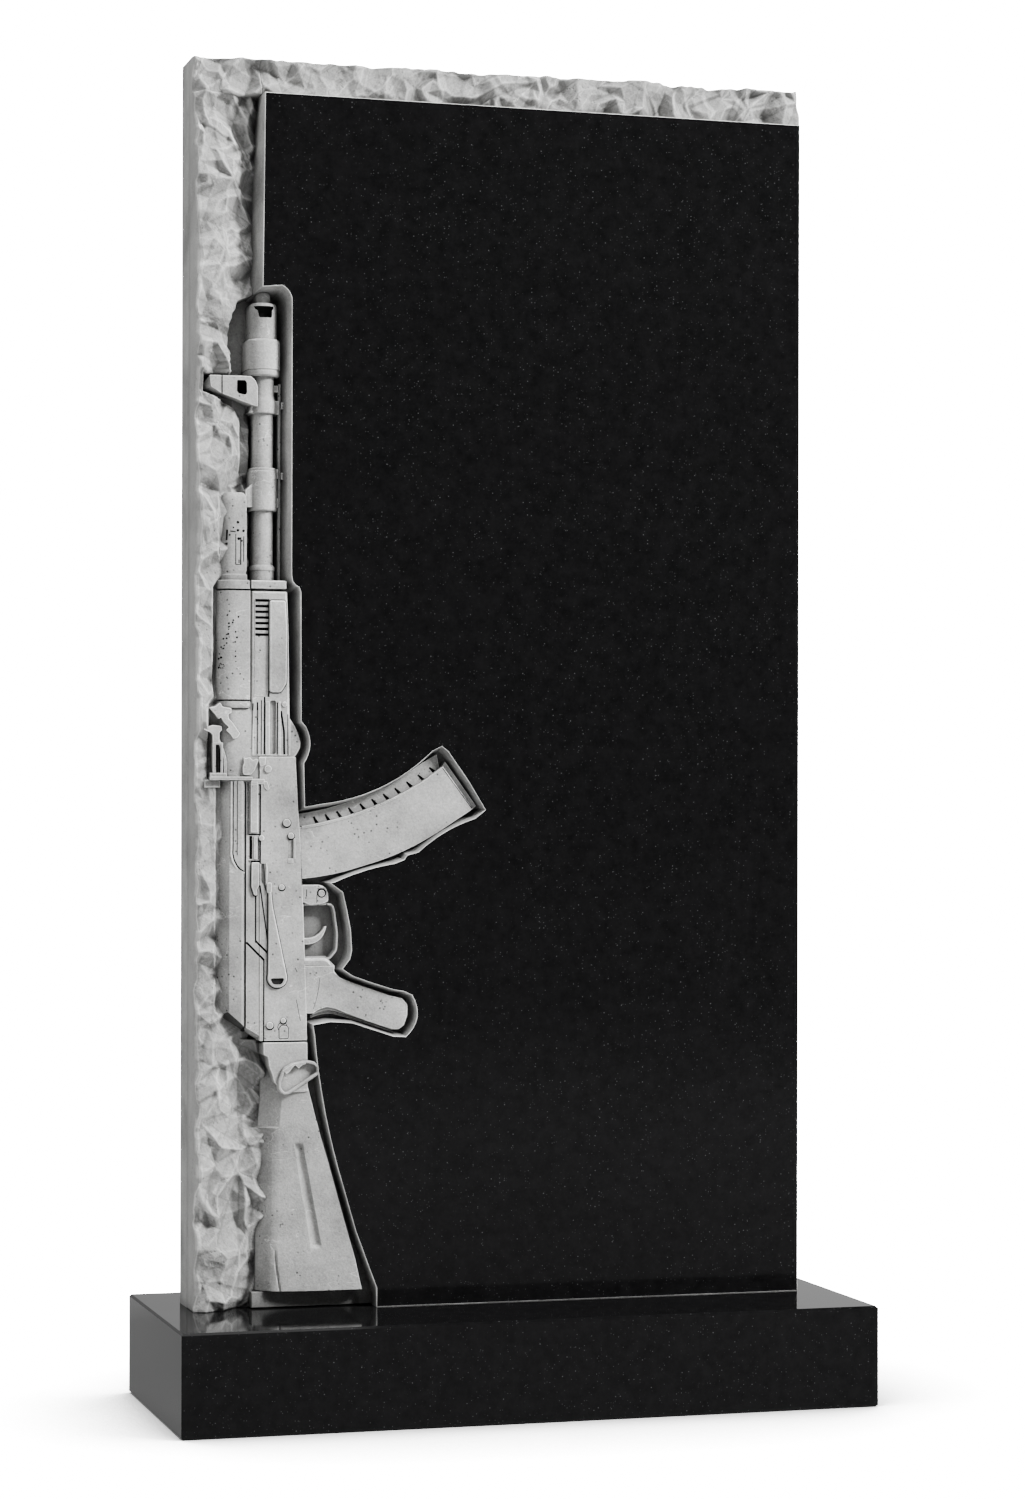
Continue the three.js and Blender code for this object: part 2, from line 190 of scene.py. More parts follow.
def lattice_noise(x, y, seed):
    """Smooth noise from -1 to 1: random values on a lattice, blended with a smooth step."""
    table = np.random.default_rng(seed).uniform(-1, 1, (64, 64))
    x, y = np.broadcast_arrays(x, y)
    column, row = np.floor(x).astype(int), np.floor(y).astype(int)
    fx, fy = x - column, y - row
    fx, fy = fx * fx * (3 - 2 * fx), fy * fy * (3 - 2 * fy)
    low = table[column % 64, row % 64] * (1 - fx) + table[(column + 1) % 64, row % 64] * fx
    high = table[column % 64, (row + 1) % 64] * (1 - fx) + table[(column + 1) % 64, (row + 1) % 64] * fx
    return low * (1 - fy) + high * fy


def facet_noise(x, y, seed):
    """Flat triangles between random heights from -1 to 1 on a lattice, each square split along
    either diagonal."""
    draws = np.random.default_rng(seed)
    table, turned = draws.uniform(-1, 1, (64, 64)), draws.random((64, 64)) < 0.5
    column, row = np.floor(x).astype(int), np.floor(y).astype(int)
    fx, fy = x - column, y - row
    near, far = table[column % 64, row % 64], table[(column + 1) % 64, row % 64]
    near_up, far_up = table[column % 64, (row + 1) % 64], table[(column + 1) % 64, (row + 1) % 64]
    flip = turned[column % 64, row % 64]
    near, far, fx = np.where(flip, far, near), np.where(flip, near, far), np.where(flip, 1 - fx, fx)
    near_up, far_up = np.where(flip, far_up, near_up), np.where(flip, near_up, far_up)
    return np.where(fx + fy < 1, near + (far - near) * fx + (near_up - near) * fy,
                    far_up + (near_up - far_up) * (1 - fx) + (far - far_up) * (1 - fy))


def fold(value):
    """A triangle wave, from -1 at 0 to 1 at 1 or -1: it turns a gentle slope into steep flat faces
    that meet in crisp ridges."""
    return 2 * np.abs(value - 2 * np.floor((value + 1) / 2)) - 1


# Forms: (points in across, up, depth; faces; material index of each face)

def tube_faces(rings, around):
    """Quads between closed rings of points that follow each other."""
    ring = np.arange(rings - 1)[:, None] * around
    here = np.arange(around)[None, :]
    after = (here + 1) % around
    quads = np.stack((ring + here, ring + here + around, ring + after + around, ring + after), axis=-1)
    return quads.reshape(-1, 4)


def carved(outline, front, back=ROOT, edge=None, slope=0.0, steps=2, slots=(0, 1, 0)):
    """An outline carried back from the face: a flat cap at `front`, a rounded edge, and sides that
    widen by `slope` on the way to `back`. slots are the materials of the cap, the edge and the sides."""
    if edge is None:
        edge = bpy.context.scene.carving_settings.edge
    outline = anticlockwise(np.asarray(outline, float))
    turn = np.linspace(math.pi / 2, 0, steps + 1)
    rings = [np.column_stack((shrink(outline, edge * (1 - math.cos(angle))),
                              np.full(len(outline), front + edge * (1 - math.sin(angle)))))
             for angle in turn]
    rings.append(np.column_stack((shrink(outline, -np.asarray(slope)), np.full(len(outline), back))))
    count = len(outline)
    faces = tube_faces(len(rings), count).tolist()
    cap = list(range(count))
    foot = [count * (len(rings) - 1) + i for i in reversed(range(count))]
    marks = [slots[1]] * (steps * count) + [slots[2]] * count + [slots[0], slots[2]]
    return np.vstack(rings), faces + [cap, foot], marks


def box(left, right, bottom, top, front, back=ROOT, edge=None):
    """A carved rectangle."""
    return carved(corners(left, right, bottom, top), front, back, edge)


def corners(left, right, bottom, top):
    """The four corners of a rectangle."""
    return points((left, bottom), (right, bottom), (right, top), (left, top))


def band(path, width):
    """The outline of a strip of even width along an open path."""
    path = np.asarray(path, float)
    ahead = np.gradient(path, axis=0)
    ahead /= np.linalg.norm(ahead, axis=1, keepdims=True)
    side = np.column_stack((-ahead[:, 1], ahead[:, 0])) * width / 2
    return np.vstack((path - side, (path + side)[::-1]))


def prism(outline, front, back, mark=0):
    """An outline carried straight back, with sharp edges: a cutter. Mark 0 leaves faces painted dark
    as shade in the stone that it cuts, and mark 1 plain ones."""
    outline = anticlockwise(np.asarray(outline, float))
    count = len(outline)
    rings = [np.column_stack((outline, np.full(count, depth))) for depth in (front, back)]
    faces = tube_faces(2, count).tolist() + [list(range(count)), list(reversed(range(count, 2 * count)))]
    return np.vstack(rings), faces, [mark] * len(faces)


def groove(path, width, front, depth=2.0, mark=0):
    """A cutter for a line along a path, from just in front of the face to `depth` behind it."""
    return prism(band(path, width), front - 3, front + depth, mark)


def moat(outline, width, front, depth):
    """A cutter a little wider than an outline, which leaves a narrow gap round what stands in it, its faces
    painted dark as shade.
    """
    return prism(shrink(anticlockwise(outline), -width), front - 3, front + depth)


def pit(across, up, radius, front, depth=0.9):
    """A cutter for a small six-sided pit."""
    return prism(circle((across, up), radius, 6), front - 3, front + depth)


def swept(sections, heights, slot=0):
    """Closed sections (height, point, across and depth) stacked up the stone, with flat ends."""
    rings, around = sections.shape[:2]
    up = np.broadcast_to(np.asarray(heights, float)[:, None, None], (rings, around, 1))
    verts = np.concatenate((sections[..., :1], up, sections[..., 1:]), axis=2).reshape(-1, 3)
    faces = tube_faces(rings, around)[:, ::-1].tolist()
    bottom = list(reversed(range(around)))
    top = [around * (rings - 1) + i for i in range(around)]
    return verts, faces + [bottom, top], [slot] * (len(faces) + 2)


def rod(across, depth, profile, back=ROOT, sides=28, right=None):
    """A half-round rod up the stone: a half circle of each radius in front of its axis, and straight
    sides from the axis back into the stone. profile is (radius, height) from the bottom up. With
    `right`, only the left half is round: the front runs flat to a small corner at that place."""
    profile = np.asarray(profile, float)
    angle = np.linspace(math.pi, 0, sides + 1)
    round_part = np.column_stack((np.cos(angle), -np.sin(angle)))
    section = profile[:, 0, None, None] * round_part[None] + (across, depth)
    if right is not None:
        inset = (profile[:, 0].max() - profile[:, 0])[:, None, None]
        corner = np.array((right - 1.6, depth - profile[:, 0].max() + 1.6)) + 1.6 * round_part
        corner = corner[None] + inset * np.array((-1.0, 1.0))
        section = np.where((angle < math.pi / 2)[None, :, None], corner, section)
    ends = section[:, (0, -1)].copy()
    ends[..., 1] = back
    loop = np.concatenate((ends[:, :1], section, ends[:, 1:]), axis=1)
    return swept(loop, profile[:, 1])


def drum(across, depth, radius, bottom, top, edge=1.0, **options):
    """A rod with the same rounded edge at both ends."""
    return rod(across, depth, [
        (radius - edge, bottom), (radius - 0.3 * edge, bottom + 0.3 * edge), (radius, bottom + edge),
        (radius, top - edge), (radius - 0.3 * edge, top - 0.3 * edge), (radius - edge, top),
    ], **options)


def boss(across, up, radius, front, back=ROOT):
    """A round rivet head or pin with a rounded edge."""
    return carved(circle((across, up), radius, 18), front, back, edge=min(0.8, radius / 3), steps=3)


def strap(path, width, front, back, edge=0.5):
    """A closed band of even width along a closed path."""
    path = anticlockwise(np.asarray(path, float))
    outer, inner = shrink(path, -width / 2), shrink(path, width / 2)
    count = len(path)
    section = ((outer, back), (outer, front + edge), (shrink(path, edge - width / 2), front),
               (shrink(path, width / 2 - edge), front), (inner, front + edge), (inner, back))
    loop = np.stack([np.column_stack((ring, np.full(count, depth))) for ring, depth in section], axis=1)
    around = len(section)
    verts = loop.reshape(-1, 3)
    here = np.arange(count)[:, None] * around
    after = (np.arange(count)[:, None] + 1) % count * around
    step = np.arange(around)[None, :]
    follow = (step + 1) % around
    quads = np.stack((here + step, here + follow, after + follow, after + step), axis=-1)
    faces = quads.reshape(-1, 4).tolist()
    return verts, faces, [0] * len(faces)


def loft_end(near, far, near_depth, far_depth, back=ROOT):
    """A sloping end: quads from a near line to a far line that lies deeper, closed down to `back`."""
    count = len(near)
    top = np.vstack((np.column_stack((near, np.full(count, near_depth))),
                     np.column_stack((far[::-1], np.full(count, far_depth)))))
    bottom = top.copy()
    bottom[:, 2] = back
    around = 2 * count
    sides = [[i, i + around, (i + 1) % around + around, (i + 1) % around] for i in range(around)]
    area = np.sum(top[:, 0] * np.roll(top[:, 1], -1) - np.roll(top[:, 0], -1) * top[:, 1])
    caps = [[i, i + 1, around - 2 - i, around - 1 - i] for i in range(count - 1)]
    caps += [[i + around for i in reversed(cap)] for cap in caps]
    faces = sides + caps
    if area < 0:
        faces = [face[::-1] for face in faces]
    return np.vstack((top, bottom)), faces, [0] * len(faces)


def on_rod(across, axis, axis_depth, radius):
    """Depth of a rod's surface at a place across the stone."""
    return axis_depth - math.sqrt(max(radius ** 2 - (across - axis) ** 2, 0))


def on_stone(forms):
    """Joins forms and brings them from the stone's drawing to the frame, in metres."""
    verts, faces, marks, start = [], [], [], 0
    for form_verts, form_faces, form_marks in forms:
        verts.append(form_verts)
        faces += [[start + i for i in face] for face in form_faces]
        marks += form_marks
        start += len(form_verts)
    drawn = np.vstack(verts) * MM
    placed = np.column_stack((STONE_LOW[0] + drawn[:, 0], STONE_LOW[1] + drawn[:, 2],
                              STONE_LOW[2] + drawn[:, 1]))
    return placed, faces, marks


def make_mesh(name, forms, materials):
    """One mesh of all the forms, in the frame."""
    verts, faces, marks = on_stone(forms)
    mesh = bpy.data.meshes.new(name)
    mesh.from_pydata(verts, [], faces)
    for material in materials:
        mesh.materials.append(material)
    mesh.polygons.foreach_set("material_index", marks)
    mesh.update()
    return mesh


def join(meshes, weld=0.0):
    """Puts several meshes with the same materials into the first one, and welds points that meet."""
    shape = bmesh.new()
    for mesh in meshes:
        shape.from_mesh(mesh)
    if weld:
        bmesh.ops.remove_doubles(shape, verts=shape.verts, dist=weld)
    shape.to_mesh(meshes[0])
    shape.free()
    return meshes[0]


def cut_out(meshes, cuts):
    """Takes every cut, each a closed form of its own, out of every mesh. Cut faces marked 0 are painted
    dark as shade, and those marked 1 are plain stone.
    """
    group = bpy.data.collections.new("cuts")
    bpy.context.scene.collection.children.link(group)
    # Mark 0 gives cut faces the near-black painted shadow material, mark 1 plain carved stone
    finishes = [material_named("Painted shadow"), material_named("Carved stone")]
    cutters = [make_mesh("cut", [form], finishes) for form in cuts]
    for cutter in cutters:
        group.objects.link(bpy.data.objects.new("cut", cutter))
    blanks = [bpy.data.objects.new("blank", mesh) for mesh in meshes]
    for blank in blanks:
        bpy.context.scene.collection.objects.link(blank)
        taken = blank.modifiers.new("Cuts", "BOOLEAN")
        taken.operand_type = "COLLECTION"
        taken.collection = group
        taken.operation = "DIFFERENCE"
        taken.solver = "MANIFOLD"
        taken.material_mode = "TRANSFER"
    bpy.context.view_layer.update()
    ready = bpy.context.evaluated_depsgraph_get()
    results = [bpy.data.meshes.new_from_object(blank.evaluated_get(ready)) for blank in blanks]
    for mesh in (*cutters, *meshes):
        bpy.data.meshes.remove(mesh)
    bpy.data.collections.remove(group)
    return results


def make_piece(name, forms, materials, slot, cuts=(), raised=(), sharp=30, weighted=True):
    """Makes one object of the forms, lying at the origin, that rides with the stone. The cuts are
    closed forms too: what they cover is taken out of the forms, and then the raised forms are added."""
    if cuts:
        parts = cut_out([join([make_mesh(name, [form], materials)], WELD) for form in forms], cuts)
    else:
        parts = [make_mesh(name, forms, materials)]
    if raised:
        parts.append(make_mesh(name, raised, materials))
    mesh = join(parts) if len(parts) > 1 else parts[0]
    mesh.name = name
    piece = bpy.data.objects.new(name, mesh)
    bpy.context.scene.collection.objects.link(piece)
    mesh.polygons.foreach_set("use_smooth", [True] * len(mesh.polygons))
    mesh.set_sharp_from_angle(angle=math.radians(sharp))
    if weighted:
        modifier = piece.modifiers.new("Even caps", "WEIGHTED_NORMAL")
        modifier.keep_sharp = True
    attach(piece, "root")
    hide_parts("stele")
    return piece


def carve(name, forms, cuts=(), raised=(), **options):
    """A carved piece of worked stone whose rounded edges are paler, as wear and as a painted highlight."""
    stones = [material_named("Carved stone"), material_named("Worn edge and painted highlight")]
    return make_piece(name, forms, stones, "worked_stone", cuts, raised, **options)


# Shader node groups

def new_group(name, inputs, outputs):
    """An empty shader node group with named sockets."""
    group = bpy.data.node_groups.new(name, "ShaderNodeTree")
    for label, kind, default in inputs:
        socket = group.interface.new_socket(label, in_out="INPUT", socket_type=kind)
        if default is not None:
            socket.default_value = default
    for label, kind in outputs:
        group.interface.new_socket(label, in_out="OUTPUT", socket_type=kind)
    return group, group.nodes.new("NodeGroupInput"), group.nodes.new("NodeGroupOutput")


def add(tree, kind, links=None, **settings):
    """Adds a node, sets its properties, and links or sets its inputs by name or number."""
    node = tree.nodes.new(kind)
    for key, value in settings.items():
        setattr(node, key, value)
    for key, value in (links or {}).items():
        if isinstance(value, bpy.types.NodeSocket):
            tree.links.new(value, node.inputs[key])
        else:
            node.inputs[key].default_value = value
    return node


def ramp(tree, value, stops):
    """Greys that change in straight lines between the stops."""
    node = add(tree, "ShaderNodeValToRGB", {0: value})
    elements = node.color_ramp.elements
    while len(elements) < len(stops):
        elements.new(0.5)
    for element, (place, grey) in zip(elements, stops):
        element.position = place
        element.color = (grey, grey, grey, 1)
    return node.outputs["Color"]


def math_node(tree, operation, first, second=0.0):
    """One sum on two values."""
    return add(tree, "ShaderNodeMath", {0: first, 1: second}, operation=operation).outputs[0]


def product(tree, first, *others):
    """All values multiplied together."""
    for other in others:
        first = math_node(tree, "MULTIPLY", first, other)
    return first


def noise(tree, vector, scale, detail=3.0, roughness=0.55):
    """Soft noise from 0 to 1."""
    node = add(tree, "ShaderNodeTexNoise",
               {"Vector": vector, "Scale": scale, "Detail": detail, "Roughness": roughness})
    return node.outputs["Fac"]


def cells(tree, vector, scale, output="Distance"):
    """Distance to the nearest of many scattered points, or that point's own colour."""
    return add(tree, "ShaderNodeTexVoronoi", {"Vector": vector, "Scale": scale}).outputs[output]


def build_worked_grain():
    """Worked grey stone: broad mottling, crystal grain, dark pits, and the height of all three."""
    group, given, result = new_group(
        "Worked stone grain",
        [("Vector", "NodeSocketVector", None), ("Pits", "NodeSocketFloat", 1.0)],
        [("Tone", "NodeSocketFloat"), ("Height", "NodeSocketFloat")])
    vector, pits = given.outputs["Vector"], given.outputs["Pits"]
    broad = ramp(group, noise(group, vector, 16.0, 5.0, 0.6), [(0.34, 0.62), (0.66, 1.16)])
    fine = ramp(group, noise(group, vector, 480.0, 2.0, 0.7), [(0.25, 0.78), (0.75, 1.16)])
    crystal = ramp(group, cells(group, vector, 700.0, "Color"), [(0.0, 0.92), (1.0, 1.06)])
    dots = ramp(group, cells(group, vector, 190.0), [(0.12, 1.0), (0.24, 0.0)])
    sparse = ramp(group, noise(group, vector, 55.0, 3.0), [(0.5, 0.0), (0.6, 1.0)])
    pit = product(group, dots, sparse, pits)
    warp = add(group, "ShaderNodeMapping",
               {"Vector": vector, "Rotation": (0.0, 0.7, 0.0), "Scale": (0.35, 1.0, 1.0)})
    vein = math_node(group, "SUBTRACT", noise(group, warp.outputs[0], 55.0, 3.0), 0.5)
    line = ramp(group, math_node(group, "ABSOLUTE", vein), [(0.0, 1.0), (0.010, 0.0)])
    some = ramp(group, noise(group, vector, 30.0, 2.0), [(0.5, 0.0), (0.6, 1.0)])
    scratch = product(group, line, some, pits)
    tone = product(group, broad, fine, crystal,
                   math_node(group, "SUBTRACT", 1.0, product(group, pit, 0.8)),
                   math_node(group, "ADD", 1.0, product(group, scratch, 0.7)))
    lumps = product(group, noise(group, vector, 120.0, 4.0, 0.65), 1.3)
    height = math_node(group, "ADD", product(group, fine, 0.4), lumps)
    height = math_node(group, "SUBTRACT", height, math_node(group, "ADD", pit, product(group, scratch, 0.4)))
    group.links.new(tone, result.inputs["Tone"])
    group.links.new(height, result.inputs["Height"])
    return group


def build_polished_specks():
    """Polished black stone: a faint cloudiness and sparse pale crystals, each of its own brightness."""
    group, given, result = new_group(
        "Polished stone specks",
        [("Vector", "NodeSocketVector", None), ("Strength", "NodeSocketFloat", 0.5)],
        [("Speck", "NodeSocketFloat"), ("Cloud", "NodeSocketFloat")])
    vector, strength = given.outputs["Vector"], given.outputs["Strength"]
    speck = None
    for scale, size in ((230.0, 0.16), (420.0, 0.2)):
        near = ramp(group, cells(group, vector, scale), [(size * 0.5, 1.0), (size, 0.0)])
        chosen = add(group, "ShaderNodeSeparateColor", {0: cells(group, vector, scale, "Color")})
        some = ramp(group, chosen.outputs[0], [(0.62, 0.0), (1.0, 1.0)])
        layer = math_node(group, "MULTIPLY", near, some)
        speck = layer if speck is None else math_node(group, "MAXIMUM", speck, layer)
    cloud = ramp(group, noise(group, vector, 90.0, 4.0, 0.7), [(0.3, 0.7), (0.7, 1.35)])
    group.links.new(math_node(group, "MULTIPLY", speck, strength), result.inputs["Speck"])
    group.links.new(cloud, result.inputs["Cloud"])
    return group


# Materials

def new_material(name, roughness, specular):
    """A material with its node tree, its shader and its Object coordinates."""
    material = bpy.data.materials.new(name)
    material.use_nodes = True
    tree = material.node_tree
    shader = tree.nodes["Principled BSDF"]
    shader.inputs["Roughness"].default_value = roughness
    shader.inputs["Specular IOR Level"].default_value = specular
    place = tree.nodes.new("ShaderNodeTexCoord").outputs["Object"]
    return material, tree, shader, place


def worked_stone(name, brightness=1.0, pits=1.0, bump=0.35, ridges=False, mottle=1.0):
    """Grey matte stone, darkened as painted shade near crevices. brightness scales the worked colour,
    mottle evens out or deepens its tones, and ridges reads the rock's own mask, which makes crests paler and
    creases darker as painted shade."""
    colour = [channel * brightness for channel in bpy.context.scene.stone_settings.worked_colour]
    material, tree, shader, place = new_material(name, 0.85, 0.25)
    grain = add(tree, "ShaderNodeGroup", {}, node_tree=bpy.data.node_groups["Worked stone grain"])
    tree.links.new(place, grain.inputs["Vector"])
    grain.inputs["Pits"].default_value = pits
    tone = math_node(tree, "POWER", grain.outputs["Tone"], mottle)
    # Painted shade: occlusion darkens the stone's colour in crevices and under nearby forms
    crevice = add(tree, "ShaderNodeAmbientOcclusion", {"Distance": CREVICE_SHADE_REACH}, samples=8).outputs["AO"]
    painted_crevice_shade = ramp(tree, crevice, [(0.0, 0.18), (0.45, 0.62), (0.9, 1.0)])
    tone = math_node(tree, "MULTIPLY", tone, painted_crevice_shade)
    # The rock's "ridge" mask: paler on crests, darker in creases as painted shade
    if ridges:
        ridge = add(tree, "ShaderNodeAttribute", attribute_name="ridge").outputs["Fac"]
        tone = math_node(tree, "MULTIPLY", tone, math_node(tree, "ADD", 0.97, ridge))
    mixed = add(tree, "ShaderNodeVectorMath", {0: colour}, operation="SCALE")
    tree.links.new(tone, mixed.inputs["Scale"])
    tree.links.new(mixed.outputs[0], shader.inputs["Base Color"])
    bumped = add(tree, "ShaderNodeBump", {"Height": grain.outputs["Height"], "Strength": bump,
                                          "Distance": BUMP_HEIGHT})
    tree.links.new(bumped.outputs["Normal"], shader.inputs["Normal"])
    return material


def polished_stone(name):
    """Near-black stone with a mirror polish, sparse pale specks and a faint cloudiness."""
    settings = bpy.context.scene.stone_settings
    material, tree, shader, place = new_material(name, 0.07, 0.06)
    specks = add(tree, "ShaderNodeGroup", {}, node_tree=bpy.data.node_groups["Polished stone specks"])
    tree.links.new(place, specks.inputs["Vector"])
    specks.inputs["Strength"].default_value = settings.speck_share
    base = add(tree, "ShaderNodeVectorMath", {0: list(settings.polished_colour)}, operation="SCALE")
    tree.links.new(specks.outputs["Cloud"], base.inputs["Scale"])
    mixed = add(tree, "ShaderNodeMix", data_type="RGBA")
    tree.links.new(specks.outputs["Speck"], mixed.inputs[0])
    tree.links.new(base.outputs[0], mixed.inputs[6])
    mixed.inputs[7].default_value = SPECK_COLOUR
    tree.links.new(mixed.outputs[2], shader.inputs["Base Color"])
    return material


def material_named(name):
    """A material made before."""
    return bpy.data.materials[name]


# Rock face: the solid's bowls, with finer flat breaks

SCALLOP_WIDTH = 27.0
SCALLOP_HEIGHT = 31.0
SCALLOP_RISE = 5.0
SCALLOP_TILT = 0.2
# Share of the rock's mask in its tone: crests paler, creases darker as painted shade
CREST_AND_CREASE_SHADE_SHARE = 0.36          # how much paler a ridge is, for each unit of the mask
FOREMOST = 1.5              # no point of the rock stands nearer to the face than this


def strike_scallops():
    """One shallow bowl for each blow: a column of across, up, sink, two tilts and curve."""
    state = 7

    def draw():
        nonlocal state
        state = (state * 1664525 + 1013904223) & 0xFFFFFFFF
        return state / 4294967296

    rows = []
    for up in np.arange(-SCALLOP_HEIGHT, HEIGHT + SCALLOP_HEIGHT, SCALLOP_HEIGHT):
        for across in np.arange(-SCALLOP_WIDTH, WIDTH + SCALLOP_WIDTH, SCALLOP_WIDTH):
            row = (across + SCALLOP_WIDTH * draw(), up + SCALLOP_HEIGHT * draw(), SCALLOP_RISE * draw(),
                   SCALLOP_TILT * (2 * draw() - 1), SCALLOP_TILT * (2 * draw() - 1), 0.009 + 0.011 * draw())
            if across < SIDE_BORDER + SCALLOP_WIDTH or up > HEIGHT - TOP_BORDER - 2 * SCALLOP_HEIGHT:
                rows.append(row)
    return np.array(rows)


def deepest_bowl(across, up, blows):
    """The deepest of all bowls at each point: its sink, plus its two tilts, less its curve times the
    squared distance from its middle."""
    best = np.full(across.shape, -1e9)
    for at, height, sink, tilt_u, tilt_v, curve in blows:
        du, dv = across - at, up - height
        best = np.maximum(best, sink + tilt_u * du + tilt_v * dv - curve * (du * du + dv * dv))
    return best


def rifle_left(up):
    """The left outline of the carved rifle, from which the rock falls away."""
    edge = points((0, 62), (17, 60), (171, 62), (200, 66), (228, 66), (262, 50), (281, 23), (498, 23),
                  (500, 15), (570, 17), (577, 21), (680, 21), (690, 26), (765, 26),
                  (773, 36), (780, 47), (842, 47), (850, 40), (858, 25), (864, 12), (880, 12), (882, 48),
                  (948, 54), (958, 64), (975, 90), (HEIGHT, 90))
    return np.interp(up, edge[:, 0], edge[:, 1])


def broken_edge(up):
    """Where the rock breaks off beside the recess: the foot left of the stock, and the head left of
    the muzzle. Between them the rock runs in under the rifle."""
    edge = points((0, 58), (20, 55), (45, 48), (80, 58), (111, 62), (157, 49), (182, 58), (210, 48),
                  (250, 48), (262, 60), (280, 90), (770, 90), (842, 90), (868, 60), (880, 35), (900, 31.5),
                  (920, 32.5), (936, 35), (950, 42), (958, 60), (966, 66), (HEIGHT, 66))
    ragged = 2.0 * facet_noise(up / 9, 0 * up, 21) + 1.0 * facet_noise(up / 3, 0 * up, 22)
    ragged = ragged * smoothstep(2, 10, up) * (1 - smoothstep(945, 960, up))
    return np.interp(up, edge[:, 0], edge[:, 1]) + ragged


def rock_depth(across, up):
    """Depth of the rock face: a broad lean from the left side to the panel's wall, the solid's bowls,
    three sizes of flat break, and a fall beside the rifle and the stock. Also how much each point
    stands out from its neighbours, which the rock's material paints pale on crests and dark in creases,
    the dark creases as painted shade."""
    bent_across = across + 2.5 * facet_noise(across / 17, up / 17, 31)
    bent_up = up + 2.5 * facet_noise(across / 17, up / 17, 32)
    relief = 0.7 * (deepest_bowl(bent_across, bent_up, strike_scallops()) - SCALLOP_RISE / 2)
    slant = bent_up + 0.45 * bent_across, bent_across - 0.35 * bent_up
    breaks = (6.0 * fold(1.2 * facet_noise(slant[1] / 27, slant[0] / 30, 5))
              + (1.8 + 1.5 * smoothstep(600, 680, up)) * fold(facet_noise(slant[1] / 16, slant[0] / 18, 6))
              + 0.7 * facet_noise(slant[0] / 6.3, slant[1] / 5.7, 7))
    rough = smoothstep(-0.6, 0.5, lattice_noise(across / 24, up / 24, 35))
    fine = facet_noise(across / 2.6, up / 2.9, 8) + 0.6 * lattice_noise(across / 1.5, up / 1.5, 9)
    near_top = np.clip((up - (HEIGHT - 3 * TOP_BORDER)) / (3 * TOP_BORDER), 0, 1)
    edge = BORDER_FRONT_DEPTH + 1.5 + (CORNER_DEPTH - BORDER_FRONT_DEPTH - 1.5) * near_top
    side = edge + (BORDER_FOOT_DEPTH - edge) * np.clip(across / SIDE_BORDER, 0, 1) ** 1.7
    side = side + 6.5 * np.exp(-((up - 856) / 15) ** 2) * smoothstep(64, 8, across)
    broken = broken_edge(up)
    side = side + 9 * smoothstep(broken - 0.5, broken + 3, across) * (up < COVER_FOOT)
    side = np.where(up < 255, np.minimum(side, 26), side)
    strip = CORNER_DEPTH + (STRIP_DEPTH - CORNER_DEPTH) * np.clip(across / WIDTH, 0, 1)
    base = np.where(up > HEIGHT - TOP_BORDER, strip, side)
    grain = bpy.context.scene.carving_settings.rock_grain
    depth = base + relief + breaks + grain * fine * (0.25 + 0.75 * rough)
    left = rifle_left(up)
    floor = np.interp(up, (281, 500, 575, 585, 680, 692, 772, 790), (16, 16, 17, 20, 20, 15, 16, 30))
    beside = floor * smoothstep(left - 7, left - 1, across) * smoothstep(255, 285, up) * (left < 80)
    depth = np.maximum(depth, beside + 0.6 * breaks * (beside > 12))
    depth = FOREMOST + FOREMOST * np.logaddexp(0, (depth - FOREMOST) / FOREMOST)
    around = sum(np.roll(depth, shift, axis) for axis in (0, 1) for shift in (1, -1)) / 4
    return np.minimum(depth, RECESS_DEPTH - 1), np.clip((around - depth) / 0.22, -0.8, 1.8)


# Operators

class MEMORIAL_OT_materials(bpy.types.Operator):
    """Makes the stone's shader groups and the materials that the pieces share"""
    bl_idname = "memorial.materials"
    bl_label = "Stone finishes"

    def execute(self, context):
        build_worked_grain()
        build_polished_specks()
        worked_stone("Carved stone")
        # Paler edges: worn stone, and a painted highlight where edges catch the light
        worked_stone("Worn edge and painted highlight", 1.75, pits=0.4)
        # A dark grey for a face that lies in shade: painted shade
        worked_stone("Shaded stone", 0.2)
        worked_stone("Rock face", 0.84, pits=0.6, bump=0.6, ridges=True, mottle=0.55)
        worked_stone("Sawn stone", 0.8, pits=0.2, bump=0.15)
        worked_stone("Recess wall", 0.9, pits=0.3, bump=0.2)
        # A darker grey for the floor round the lower half of the rifle: painted shade
        worked_stone("Shade-darkened recess floor", 0.5, pits=0.3, bump=0.2)
        polished_stone("Polished stone")
        # Near black for cut faces and for boxes set in gaps: painted shadow
        worked_stone("Painted shadow", 0.045, pits=0.2, bump=0.2)
        return {"FINISHED"}


class MEMORIAL_OT_plinth(bpy.types.Operator):
    """Gives the plinth, which stays as the solid has it, its polished finish"""
    bl_idname = "memorial.plinth"
    bl_label = "Plinth"

    def execute(self, context):
        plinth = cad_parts["plinth"]
        plinth.data.materials.clear()
        plinth.data.materials.append(material_named("Polished stone"))
        return {"FINISHED"}


class MEMORIAL_OT_stone_back(bpy.types.Operator):
    """Makes the back of the stone, from the recess floor to the sawn back face"""
    bl_idname = "memorial.stone_back"
    bl_label = "Stone back"

    def execute(self, context):
        slab = box(0, WIDTH, 0, HEIGHT, RECESS_DEPTH, THICKNESS, edge=0.01)
        sawn = material_named("Sawn stone")
        make_piece("stone_back", [slab], [sawn, sawn], "worked_stone")
        low = RECESS_OUTLINE[RECESS_OUTLINE[:, 1] < 545]
        edge = points((57, 1), (57, 15.6), (74, 16.6), (74, 545), (99, 545))
        floor = carved(np.vstack((edge, low[:-1], points((174, 1)))), RECESS_FLOOR_DEPTH)
        # The recess floor's darker grey is painted shade
        make_piece("recess_floor", [floor], [material_named("Shade-darkened recess floor")] * 2, "worked_stone")
        return {"FINISHED"}


